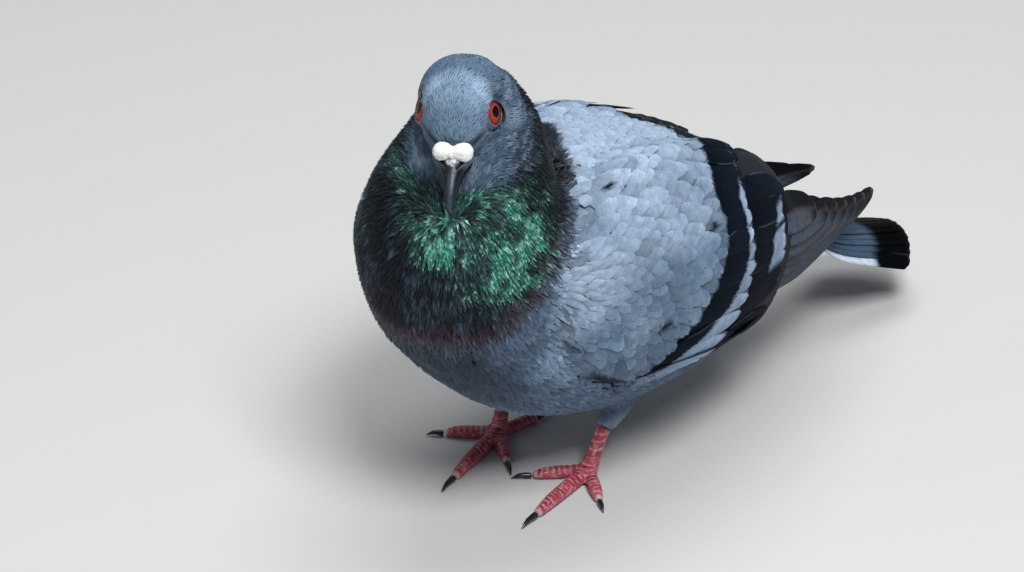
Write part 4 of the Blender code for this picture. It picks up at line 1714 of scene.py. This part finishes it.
    def bars(self) -> None:
        """Greater coverts with the front bar, and secondaries with the rear one."""
        vane = Vane(segments=14, rows=26, fringe=0.006, round_end=0.28, splits=1, split_depth=0.04)
        _, _, tips, _, end = WING_MAP.levels
        greater = self.row(tips, 5.6, 11.0, 9.0, self.outer, (0, 2))
        inner = self.row(end, 6.2, 14.0, 11.0, self.outer, (2, 4))
        hidden = self.row(end + 10.0, 6.4, 16.0, 11.5, self.outer, (2, 4))
        rows = [laid for laid in (hidden, inner, greater) if laid is not None]
        unwrap = Unwrap.fitted(np.concatenate([laid.roots for laid in rows]))
        bed = FeatherBed(f"secondaries_{self.name}", Plumage.BARRED, "wing_feathers")
        for depth, laid in zip((0.7, 0.3, 0.0), rows):
            laid.lift = laid.lift - depth
            laid.steps = 6
            bed.lay(vane, laid, self.outer, self.painter(laid, 0.3), unwrap, self.rng)
        bed.build()


@dataclass
class LongFeathers:
    """Flight or tail feathers laid one under another over a surface."""

    name: str
    finish: Plumage
    slot: str
    strips: int
    rng: Random
    steps: int = 12
    thickness: float = 0.35
    camber: float = 0.12
    shaft_rise: float = 0.22
    shaft_width: float = 0.06
    strip_length: float = 0.96
    strip_share: float = 0.9375
    strip_margin: float = 0.02

    def __post_init__(self) -> None:
        """Starts the piece, with room for its strips side by side on the bake map."""
        self.bed = FeatherBed(self.name, self.finish, self.slot)
        self.pitch = self.strip_length / self.strips

    def add(
        self,
        vane: Vane,
        line: Array,
        normals: Array,
        width: float,
        height: float,
        paint: Paint,
        number: int,
        root_sink: float = 0.0,
    ) -> None:
        """Adds one feather along a line of points.

        Args:
            vane: its outline.
            line: points of its middle line.
            normals: the surface normals there.
            width: its breadth.
            height: how far it lies off the line.
            paint: gives colours and gleams from places, across and along.
            number: of its strip on the bake map.
            root_sink: how much lower its root lies.
        """
        outline, faces = vane.shape(self.rng)
        across, along = outline[:, 0], outline[:, 1]
        at = np.clip(along, 0, 1) * (len(line) - 1)
        low = np.minimum(at.astype(int), len(line) - 2)
        share = (at - low)[:, None]

        def there(rows: Array) -> Array:
            """The line's rows, read at each vertex."""
            return rows[low] * (1 - share) + rows[low + 1] * share

        middle, normal = there(line), unit(there(normals))
        way = unit(there(unit(np.gradient(line, axis=0))))
        length = np.linalg.norm(np.diff(line, axis=0), axis=1).sum()
        middle = middle + way * (np.clip(along - 1, 0, None) * length)[:, None]
        side = unit(np.cross(way, normal))
        normal = np.cross(side, way)
        rise = height - self.camber * width / 2 * across**2
        rise = rise + self.shaft_rise * np.exp(-((across / self.shaft_width) ** 2))
        rise = rise - root_sink * blend(0.40, 0.10, along)
        place = middle + side * (across * width / 2)[:, None] + normal * rise[:, None]
        tint, gleam = paint(place, across, along)
        local = np.stack([across / 2 + 0.5, along], axis=1)
        strip = np.array([self.pitch * self.strip_share, self.strip_length])
        bake = self.strip_margin + np.array([self.pitch * number, 0.0]) + local * strip
        vane_uv = local + np.array([0.0, self.rng.integers(0, BARB_PATTERNS)])
        rows = [array[None] for array in (place, tint, gleam, bake, vane_uv)]
        self.bed.parts.append((rows[0], faces, *rows[1:]))

    def build(self) -> bpy.types.Object:
        """Joins them, each with its thickness."""
        return self.bed.build(self.thickness)


@dataclass
class Primaries:
    """The folded primaries of one wing: long blades, the innermost on top."""

    name: str
    wing: Wing
    rng: Random
    count: int = 7
    ends_y: tuple[float, float] = (23.0, 105.0)
    top_z: tuple[float, float] = (86.3, 52.0)
    bottom_z: tuple[float, float] = (34.0, 39.5)
    root_share: float = -0.14
    tip_share: tuple[float, float] = (0.30, 0.99)
    tip_drop: tuple[float, float] = (0.24, 0.46)
    root_drop: tuple[float, float] = (0.24, 0.88)
    width: tuple[float, float] = (16.0, 14.0)
    height: tuple[float, float] = (-0.1, -2.5)
    arch: float = 2.0
    innermost: float = 6.0
    root_sink: float = 3.0
    strips: int = 10

    @property
    def side(self) -> int:
        """Left (1) or right (-1)."""
        return SIDES[self.name]

    def spot(self, share: float, drop: float) -> tuple[float, float]:
        """Y and Z at a share of the blade's length, and a share down its breadth."""
        heights = between(self.top_z, share), between(self.bottom_z, share)
        return between(self.ends_y, share), between(heights, drop)

    def line(self, start: tuple[float, float], end: tuple[float, float]) -> Pair:
        """Points over the blade's outside between two places seen from the side."""
        places, facings = [], []
        for share in np.linspace(0, 1, LongFeathers.steps):
            y, z = between((np.array(start), np.array(end)), share)
            z += self.arch * math.sin(math.pi * share)
            hit = self.wing.blade.seen_from(self.side, y, z)
            if hit is None or hit[0][0] * self.side < self.innermost:
                hit = (np.array([places[-1][0], y, z]), facings[-1])
            places.append(hit[0])
            facings.append(hit[1])
        return evened(places, facings, 3)

    def build(self) -> None:
        """Lays the feathers from the lowest to the topmost."""
        vane = Vane(segments=14, rows=36, root_width=0.45, round_end=0.16, taper=0.30,
                    fringe=0.002, splits=1, split_depth=0.01)
        fan = LongFeathers(f"primaries_{self.name}_vanes", Plumage.FLIGHT, "flight_feathers",
                           self.strips, self.rng)

        def paint(place: Array, across: Array, along: Array) -> Pair:
            """Near-black vanes, grey-brown on the lower web, with a thin pale rim at the end."""
            lower = across * self.side
            web = blend(-0.15, 0.35, lower) * blend(0.97, 0.80, along)
            streak = 0.55 + 0.9 * noise(np.stack([across * 9, along * 1.5, along * 0], 1), 1.0, 71)
            rim = np.maximum(blend(0.985, 1.0, along), blend(0.90, 0.99, lower))
            rim = np.maximum(rim, 0.6 * blend(0.93, 1.0, -lower) * blend(0.7, 0.9, along))
            shaft = np.exp(-((across / 0.08) ** 2))
            tint = coated(
                Hue.FLIGHT,
                (Hue.FLIGHT_WEB, np.clip(0.85 * web * streak, 0, 1)),
                (Hue.FLIGHT_EDGE, 0.65 * rim),
                (Hue.FLIGHT_SHAFT, 0.6 * shaft),
            )
            return tint, np.zeros(len(across))

        for k in reversed(range(self.count)):
            share = k / (self.count - 1)
            root = self.spot(self.root_share, between(self.root_drop, share))
            tip = self.spot(between(self.tip_share, share), between(self.tip_drop, share))
            fan.add(vane, *self.line(root, tip), between(self.width, share),
                    between(self.height, share), paint, k, self.root_sink)
        made = fan.build()
        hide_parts(f"primaries_{self.name}")


@dataclass
class Tail:
    """The closed tail: twelve feathers, the middle pair on top."""

    rng: Random
    count: int = 12
    root_y: float = 66.0
    root_half: float = 9.0
    tip_half: float = 17.0
    rounding: float = 11.0
    width: float = 13.5
    step_down: float = 0.36
    band: float = 24.0
    above: float = 150.0
    outermost: float = 0.95

    def __post_init__(self) -> None:
        """Reads the tail's place."""
        self.surface = Surface.of_nodes("tail", "trunk")
        low, high = (np.array(corner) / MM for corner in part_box("tail"))
        self.tip_y = high[1]
        self.tip_x = (low[0] + high[0]) / 2

    def line(self, across: float) -> Pair:
        """The middle line of the feather at that place across the fan."""
        start = np.array([2.0 + across * self.root_half, self.root_y])
        end = np.array([self.tip_x + across * self.tip_half,
                        self.tip_y - self.rounding * across**2 - 0.6])
        places, facings = [], []
        for share in np.linspace(0, 1, LongFeathers.steps):
            x, y = between((start, end), share)
            hit = self.surface.throw(np.array([x, y, self.above]), np.array([0.0, 0.0, -1.0]))
            if hit is None:
                hit = (np.array([x, y, 2 * places[-1][2] - places[-2][2]]), facings[-1])
            places.append(hit[0])
            facings.append(hit[1])
        return evened(places, facings, 4)

    def build(self) -> None:
        """Lays the feathers from the outermost to the middle pair."""
        vane = Vane(segments=14, rows=32, root_width=0.75, round_end=0.10, taper=0.0,
                    fringe=0.003, splits=1, split_depth=0.02)
        fan = LongFeathers("tail_vanes", Plumage.TAIL, "tail_feathers", self.count, self.rng)
        order = sorted(range(self.count), key=lambda i: -abs(i - (self.count - 1) / 2))
        for i in order:
            across = -1 + 2 * i / (self.count - 1)
            line, facings = self.line(across)
            length = np.linalg.norm(np.diff(line, axis=0), axis=1).sum()

            def paint(
                place: Array, over: Array, along: Array, side: float = across, size: float = length
            ) -> Pair:
                """Blue-grey, with the black band at the end and white on the outermost web."""
                left = (1 - along) * size
                web = blend(0.1, 0.25, over * np.sign(side)) * blend(self.band - 4, self.band, left)
                shaft = np.exp(-((over / 0.07) ** 2))
                tint = coated(
                    Hue.TAIL,
                    (Hue.TAIL_BAND, blend(self.band + 3, self.band - 3, left)),
                    (Hue.TAIL, 0.35 * blend(2.2, 0.6, left)),
                    (Hue.TAIL_WHITE, 0.95 * web * (abs(side) > self.outermost)),
                    (Hue.TAIL_SHAFT, 0.5 * shaft),
                )
                return tint, np.zeros(len(along))

            height = -self.step_down * (abs(i - (self.count - 1) / 2) - 0.5)
            fan.add(vane, line, facings, self.width, height, paint, i)
        made = fan.build()
        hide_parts("tail")


# ---- head


@dataclass(frozen=True)
class HornFinish(Finish):
    """Horn and bare skin: smooth or scaly, with a fine grain in tint, gloss and height."""

    roughness: float
    lines: float
    bump: float
    specular: float = 0.5

    def dress(self, kit: Nodes, shader: bpy.types.Node) -> None:
        """Lays out the material's nodes."""
        shader.inputs["Specular IOR Level"].default_value = self.specular
        tint = kit.add("ShaderNodeAttribute", attribute_name=TINT).outputs["Color"]
        place = kit.add("ShaderNodeTexCoord").outputs["Object"]
        grain = kit.noise(place, self.lines, 4.0)
        kit.put(shader, "Base Color", kit.tinted(tint, kit.ramp(grain, 0.3, 0.7, 0.82, 1.2)))
        kit.put(shader, "Roughness", kit.ramp(grain, 0.3, 0.7, self.roughness * 0.8,
                                              self.roughness * 1.25))
        shader.inputs["Coat Weight"].default_value = 0.24 * self.specular
        kit.bumped(shader, grain, self.bump, 0.2)


BILL_HORN = HornFinish("bill_horn", 0.34, 900.0, 0.12, 0.16)
CLAW_HORN = HornFinish("claw_horn", 0.22, 500.0, 0.08)
CHALK = HornFinish("cere_chalk", 0.85, 2600.0, 0.9)
LEG_SKIN = HornFinish("leg_scales", 0.46, 2200.0, 0.6)
LID_SKIN = HornFinish("lid_skin", 0.55, 2400.0, 0.7)


def dressed(
    obj: bpy.types.Object,
    finish: HornFinish,
    tint: Array,
    nodes: Sequence[str] = (),
) -> bpy.types.Object:
    """Gives a smooth piece its finish and its place in the model.

    Args:
        obj: the piece.
        finish: its finish.
        tint: a colour for each vertex.
        nodes: the CAD nodes it stands for.

    Returns:
        The piece.
    """
    write_tint(obj.data, tint, np.zeros(len(tint)))
    obj.data.materials.clear()
    obj.data.materials.append(finish.material())
    obj.data.shade_smooth()
    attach(obj, BODY)
    if nodes:
        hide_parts(*nodes)
    log.info("%s: %d faces", obj.name, len(obj.data.polygons))
    return obj


@dataclass(frozen=True)
class Face:
    """Bill, cere, eyes and lids."""

    bill_voxel: float = 0.24
    bill_spread: float = 0.42
    cere_voxel: float = 0.22
    iris_reach: float = 5.0
    dome: float = 1.9
    pupil: float = 1.8

    def bill(self) -> None:
        """Both halves of the bill, with the nostril slits cut under the cere and a painted highlight
        along the ridge.
        """
        for part in ("upper", "lower"):
            obj = remeshed(f"bill_{part}_horn", [f"bill_{part}"], self.bill_voxel, 3)
            points, normals = mesh_points(obj)
            local = HEAD.local(points)
            spread = 1 + self.bill_spread * blend(25.0, 13.0, local[:, 0])
            points = points + (local[:, 1] * (spread - 1))[:, None] * HEAD.left
            move_points(obj, points)
            local = HEAD.local(points)
            forward, left, up = local[:, 0], np.abs(local[:, 1]), local[:, 2]
            tint = np.tile(Bare.HORN, (len(points), 1))
            if part == "upper":
                slit = np.exp(-(((forward - 16.6) - 1.1 * (3.3 - left)) / 0.6) ** 2)
                slit = slit * blend(1.2, 2.0, left) * (up > -1.6)
                points = points - normals * (0.8 * slit)[:, None]
                # painted highlight: a lighter blue-grey strip along the ridge near the tip, which
                # also gets a slight rise
                ridge = np.exp(-((left / 0.9) ** 2)) * blend(18.0, 21.0, forward)
                points = points + normals * (0.02 * ridge)[:, None]
                flap = blend(19.5, 15.5, forward) * (1 - slit)
                ragged = forward + 2.2 * (noise(points, 0.55, 31) - 0.5)
                dusty = blend(18.8, 16.6, ragged) * blend(2.6, 1.2, left) * (up > -1.0)
                grains = blend(0.30, 0.62, noise(local * np.array([0.5, 1, 1]), 0.42, 32))
                rim = blend(-2.2, -2.8, up + 0.1 * (forward - 20)) * blend(22, 16, forward)
                tint = coated(
                    Bare.HORN,
                    (Bare.HORN_FLAP, 0.8 * flap * blend(-2.6, 0.0, up)),
                    (Bare.RIDGE_HIGHLIGHT, 0.8 * ridge),
                    (Bare.POWDER, 0.9 * dusty * grains),
                    (Bare.NOSTRIL, np.clip(1.3 * slit, 0, 1)),
                    (Bare.HORN_RIM, 0.6 * rim),
                )
                move_points(obj, points)
            dressed(obj, BILL_HORN, tint, [f"bill_{part}"])

    def cere(self) -> None:
        """The two chalky lobes over the root of the bill."""
        fill = (HEAD.place(14.0, 0.0, 0.9), 2.4)
        obj = remeshed("cere_lobes", ["cere"], self.cere_voxel, 5, [fill])
        points, normals = mesh_points(obj)
        rough = 0.16 * (noise(points, 0.8, 41) - 0.5) + 0.12 * (noise(points, 1.9, 42) - 0.5)
        points = points + normals * rough[:, None]
        move_points(obj, points)
        local = HEAD.local(points)
        worn = blend(0.50, 0.75, noise(points, 0.5, 43)) * blend(14.6, 16.6, local[:, 0])
        tint = coated(Bare.CERE, (Bare.CERE_WORN, 0.6 * worn))
        dressed(obj, CHALK, tint, ["cere"])

    @staticmethod
    def aimed(name: str, bm: bmesh.types.BMesh, centre: Array, axis: Array) -> bpy.types.Object:
        """Turns a shape made along Z to look along an axis.

        Args:
            name: the new object's name.
            bm: the shape, which ends with it.
            centre: where its origin goes.
            axis: where its Z goes.

        Returns:
            The new object.
        """
        turn = Vector(axis).to_track_quat("Z", "Y").to_matrix().to_4x4()
        bmesh.ops.transform(bm, matrix=Matrix.Translation(Vector(centre * MM)) @ turn,
                            verts=bm.verts)
        return moulded(name, bm)

    def eyeball(self, name: str, side: int) -> None:
        """A ball whose iris and pupil are drawn round the axis it looks along."""
        axis = EYE_PLACE.axis(side)
        rim = self.dome * math.sqrt(1 - (EYE_PLACE.opening / self.iris_reach) ** 2)
        centre = EYE_PLACE.centre(side) + axis * (EYE_PLACE.rim_height - 0.15 - rim)
        bm = bmesh.new()
        bmesh.ops.create_uvsphere(bm, u_segments=64, v_segments=48, radius=self.iris_reach * MM)
        bmesh.ops.scale(bm, vec=(1, 1, self.dome / self.iris_reach), verts=bm.verts)
        flat = bm.loops.layers.uv.new("Iris")
        for face in bm.faces:
            for loop in face.loops:
                loop[flat].uv = (loop.vert.co.x / MM, loop.vert.co.y / MM)
        obj = self.aimed(f"eyeball_{name}", bm, centre, axis)
        obj.data.shade_smooth()
        obj.data.materials.append(finished("eye_iris", self.iris))
        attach(obj, BODY)
        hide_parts(f"eye_{name}")

    def iris(self, kit: Nodes, shader: bpy.types.Node) -> None:
        """Wet eye: black pupil, orange ring, red iris with darker flecks, and a dark rim."""
        place = kit.add("ShaderNodeUVMap", uv_map="Iris").outputs[0]
        reach = kit.add("ShaderNodeVectorMath", operation="LENGTH")
        kit.put(reach, 0, place)
        flecks = kit.noise(place, 2.2, 4.0)
        far = kit.math("ADD", reach.outputs["Value"], kit.ramp(flecks, 0.3, 0.7, -0.10, 0.10))
        ramp = kit.add("ShaderNodeValToRGB")
        kit.put(ramp, "Fac", kit.math("DIVIDE", far, self.iris_reach))
        edge = self.pupil / self.iris_reach
        stops = (
            (0.0, Bare.PUPIL),
            (edge - 0.01, Bare.PUPIL),
            (edge + 0.015, Bare.PUPIL_EDGE),
            (edge + 0.04, Bare.IRIS_ORANGE),
            (edge + 0.08, Bare.IRIS_RED),
            (0.66, Bare.IRIS_DEEP),
            (0.73, Bare.IRIS_RIM),
            (1.0, Bare.EYE_BACK),
        )
        while len(ramp.color_ramp.elements) < len(stops):
            ramp.color_ramp.elements.new(1.0)
        for element, (where, colour) in zip(ramp.color_ramp.elements, stops):
            element.position = where
            element.color = (*colour, 1.0)
        spots = kit.ramp(flecks, 0.38, 0.62, 0.50, 1.35)
        kit.put(shader, "Base Color", kit.tinted(ramp.outputs["Color"], spots))
        shader.inputs["Roughness"].default_value = 0.5
        shader.inputs["Specular IOR Level"].default_value = 0.05
        shader.inputs["Coat Weight"].default_value = 0.18
        shader.inputs["Coat Roughness"].default_value = 0.03

    def lids(self, name: str, side: int) -> None:
        """The bare ring of skin round the eye, turned about the axis it looks along."""
        centre, axis = EYE_PLACE.centre(side), EYE_PLACE.axis(side)
        inner, rim = EYE_PLACE.opening, EYE_PLACE.rim_height
        profile = ((inner - 0.1, rim - 0.4), (inner, rim - 0.05), (inner + 0.2, rim + 0.2),
                   (inner + 0.45, rim + 0.12), (inner + 0.8, rim - 0.35), (inner + 1.3, rim - 1.0),
                   (inner + 1.9, rim - 1.9), (inner + 2.4, rim - 3.0))
        bm = bmesh.new()
        verts = [bm.verts.new((radius * MM, 0, height * MM)) for radius, height in profile]
        edges = [bm.edges.new(pair) for pair in zip(verts, verts[1:])]
        bmesh.ops.spin(bm, geom=verts + edges, cent=(0, 0, 0), axis=(0, 0, 1),
                       angle=2 * math.pi, steps=72, use_merge=True)
        bmesh.ops.subdivide_edges(bm, edges=bm.edges, cuts=1)
        bmesh.ops.recalc_face_normals(bm, faces=bm.faces)
        obj = self.aimed(f"lids_{name}", bm, centre, axis)
        points, normals = mesh_points(obj)
        out = (points - centre) @ axis
        reach = np.sqrt(np.maximum(((points - centre) ** 2).sum(1) - out**2, 0))
        rough = 0.14 * (noise(points, 0.6, 51) - 0.5)
        move_points(obj, points + normals * rough[:, None])
        local = HEAD.local(points) - HEAD.local(centre)
        tint = coated(
            Bare.LID,
            (Bare.LID_REAR, 0.8 * blend(0.5, 3.0, local[:, 2] - local[:, 0])),
            (Bare.LID_EDGE, blend(inner + 0.15, inner - 0.02, reach)),
            (Bare.LID_OUTER, blend(inner + 0.45, inner + 0.75, reach)),
        )
        dressed(obj, LID_SKIN, tint)

    def build(self) -> None:
        """Makes the bare parts of the head."""
        self.bill()
        self.cere()
        for name, side in SIDES.items():
            self.eyeball(name, side)
            self.lids(name, side)


# ---- legs


@dataclass
class Leg:
    """One bare foot: scaled toes, pad and shank, and four claws."""

    name: str
    voxel: float = 0.42
    claw_voxel: float = 0.22
    scute: float = 1.9
    scute_height: float = 0.36

    def __post_init__(self) -> None:
        """Finds the toes' lines."""
        self.lines = {}
        normals, offsets = [], []
        for toe in TOES:
            near_end = self.middle(f"toe_{toe}_{self.name}")
            far_end = self.middle(f"claw_{toe}_{self.name}")
            way = unit((far_end - near_end) * np.array([1, 1, 0]))
            self.lines[toe] = way
            across = np.array([-way[1], way[0]])
            normals.append(across)
            offsets.append(across @ near_end[:2])
        place, *_ = np.linalg.lstsq(np.array(normals), np.array(offsets), rcond=None)
        self.centre = np.array([place[0], place[1], 2.4])

    @staticmethod
    def middle(node: str) -> Array:
        """The middle of a node's vertices."""
        return node_arrays(node)[0].mean(0)

    def foot(self) -> None:
        """The red scaled skin of toes, pad and shank."""
        nodes = [f"foot_{self.name}"] + [f"toe_{toe}_{self.name}" for toe in TOES]
        obj = remeshed(f"foot_{self.name}_skin", nodes, self.voxel, 4)
        points, normals = mesh_points(obj)
        away = points - self.centre
        best = np.full(len(points), 1e9)
        along = np.zeros(len(points))
        length = np.ones(len(points))
        for toe, way in self.lines.items():
            reach = away @ way
            gap = np.linalg.norm(away - reach[:, None] * way, axis=1) + 50 * (reach < 0)
            far = (node_arrays(f"toe_{toe}_{self.name}")[0] - self.centre) @ way
            closer = gap < best
            best = np.where(closer, gap, best)
            along = np.where(closer, reach, along)
            length = np.where(closer, far.max(), length)
        shank = blend(5.0, 7.5, points[:, 2])
        along = along + (points[:, 2] * 1.05 - along) * shank
        period = self.scute * (1 + 0.3 * shank) * (1 + 0.12 * (noise(points, 4.0, 61) - 0.5))
        wave = np.abs(np.sin(math.pi * along / period))
        crest = wave**0.35
        front = blend(-0.3, 0.3, normals @ np.array([0.45, -0.89, 0.0]))
        top = blend(0.15, 0.6, normals[:, 2]) * (1 - shank) + shank * front
        pebble = noise(points, 0.75, 62)
        pads = 0.30 * (pebble - 0.5) * (1 - top)
        rise = self.scute_height * (crest - 0.75) * top + pads
        points = points + normals * rise[:, None]
        points[:, 2] = np.maximum(points[:, 2], 0.0)
        move_points(obj, points)
        patch = 0.40 + 0.60 * blend(0.35, 0.65, noise(points, 2.2, 64))
        worn = 0.5 + 0.5 * blend(0.4, 0.6, noise(points, 1.1, 65))
        end = blend(length - 1.8, length - 0.2, along) * (1 - shank)
        tint = coated(
            Bare.LEG,
            (Bare.LEG_DEEP, 0.85 * blend(0.35, 0.80, wave) * top * patch),
            (Bare.LEG_CREASE, 0.85 * blend(0.24, 0.07, wave) * top * worn),
            (Bare.LEG_PORE, 0.55 * blend(0.36, 0.20, pebble) * (1 - top)),
            (Bare.LEG_DUST, 0.30 * blend(0.62, 0.8, noise(points, 0.9, 63))),
            (Bare.TOE_END, 0.75 * end),
        )
        dressed(obj, LEG_SKIN, tint, nodes)

    def claws(self) -> None:
        """The four black claws."""
        nodes = [f"claw_{toe}_{self.name}" for toe in TOES]
        obj = remeshed(f"claws_{self.name}_horn", nodes, self.claw_voxel, 8)
        tint = np.tile(Bare.CLAW, (len(obj.data.vertices), 1))
        dressed(obj, CLAW_HORN, tint, nodes)

    def build(self) -> None:
        """Makes the foot and its claws."""
        self.foot()
        self.claws()


# ---- setting


@dataclass(frozen=True)
class Studio:
    """The pale floor, the soft light and the camera."""

    azimuth_deg: float = 39.6
    elevation_deg: float = 26.7
    distance: float = 1300.0
    aim: tuple[float, ...] = (0.0, 7.4, 80.0)
    turn_right: float = -154.0
    turn_up: float = -106.0
    focal: float = 3939.0
    picture_width: float = 1024.0
    sensor: float = 36.0
    floor_half: float = 6.0
    lit_place: tuple[float, ...] = (0, -0.03, 0.08)

    def floor(self) -> None:
        """A plain pale floor that reaches past every view."""
        bm = bmesh.new()
        bmesh.ops.create_grid(bm, x_segments=2, y_segments=2, size=self.floor_half)
        obj = moulded("floor", bm)
        obj.data.materials.append(finished("floor_paint", self.paint))

    @staticmethod
    def paint(kit: Nodes, shader: bpy.types.Node) -> None:
        """Matt pale grey."""
        kit.put(shader, "Base Color", (0.52, 0.52, 0.515, 1.0))
        kit.put(shader, "Roughness", 0.85)

    def light(self, name: str, place: tuple[float, float, float], size: float, power: float) -> None:
        """One square soft light that faces the bird.

        Args:
            name: the light's name.
            place: where it hangs, in metres.
            size: the length of its sides in metres.
            power: in watts.
        """
        data = bpy.data.lights.new(name, "AREA")
        data.size, data.energy = size, power
        obj = linked(name, data)
        obj.location = place
        way = Vector(self.lit_place) - obj.location
        obj.rotation_euler = way.to_track_quat("-Z", "Y").to_euler()

    def lights(self) -> None:
        """A broad light over the bird's left shoulder, and a weak fill from its right."""
        self.light("key_light", (0.75, -0.50, 1.35), 0.55, 26.0)
        self.light("top_light", (-0.2, 0.3, 1.5), 1.0, 13.0)
        self.light("fill_light", (-1.1, -1.0, 0.7), 1.2, 2.0)
        world = bpy.data.worlds.new("room")
        world.use_nodes = True
        sky = world.node_tree.nodes["Background"]
        sky.inputs["Color"].default_value = (0.86, 0.92, 1.0, 1.0)
        sky.inputs["Strength"].default_value = 0.20
        bpy.context.scene.world = world

    def camera(self) -> None:
        """Puts the camera at its angle and aims it so that the bird stands left of the middle."""
        around, above = math.radians(self.azimuth_deg), math.radians(self.elevation_deg)
        right = Vector((math.cos(around), math.sin(around), 0))
        back = Vector((math.sin(around) * math.cos(above), -math.cos(around) * math.cos(above),
                       math.sin(above)))
        up = back.cross(right)
        data = bpy.data.cameras.new("camera")
        data.sensor_width = self.sensor
        data.lens = self.focal / self.picture_width * self.sensor
        data.clip_end = 50.0
        obj = linked("camera", data)
        obj.location = (Vector(self.aim) + back * self.distance) * MM
        way = -back * self.focal + right * self.turn_right + up * self.turn_up
        obj.rotation_euler = way.to_track_quat("-Z", "Y").to_euler()
        bpy.context.scene.camera = obj

    def build(self) -> None:
        """Makes the whole setting, with colours shown as they are."""
        bpy.context.scene.view_settings.view_transform = "Standard"
        self.floor()
        self.lights()
        self.camera()


def main() -> None:
    """Builds the setting and the bird, piece by piece."""
    logging.basicConfig(level=logging.INFO, format="%(message)s")
    rng = np.random.default_rng(SEED)
    Studio().build()
    pelt = Pelt(rng)
    pelt.zones()
    for name in SIDES:
        wing = Wing(name, pelt.surface, rng)
        wing.build()
        Primaries(name, wing, rng).build()
    Tail(rng).build()
    Face().build()
    for name in SIDES:
        Leg(name).build()
    pelt.skin()


if __name__ == "__main__":
    main()
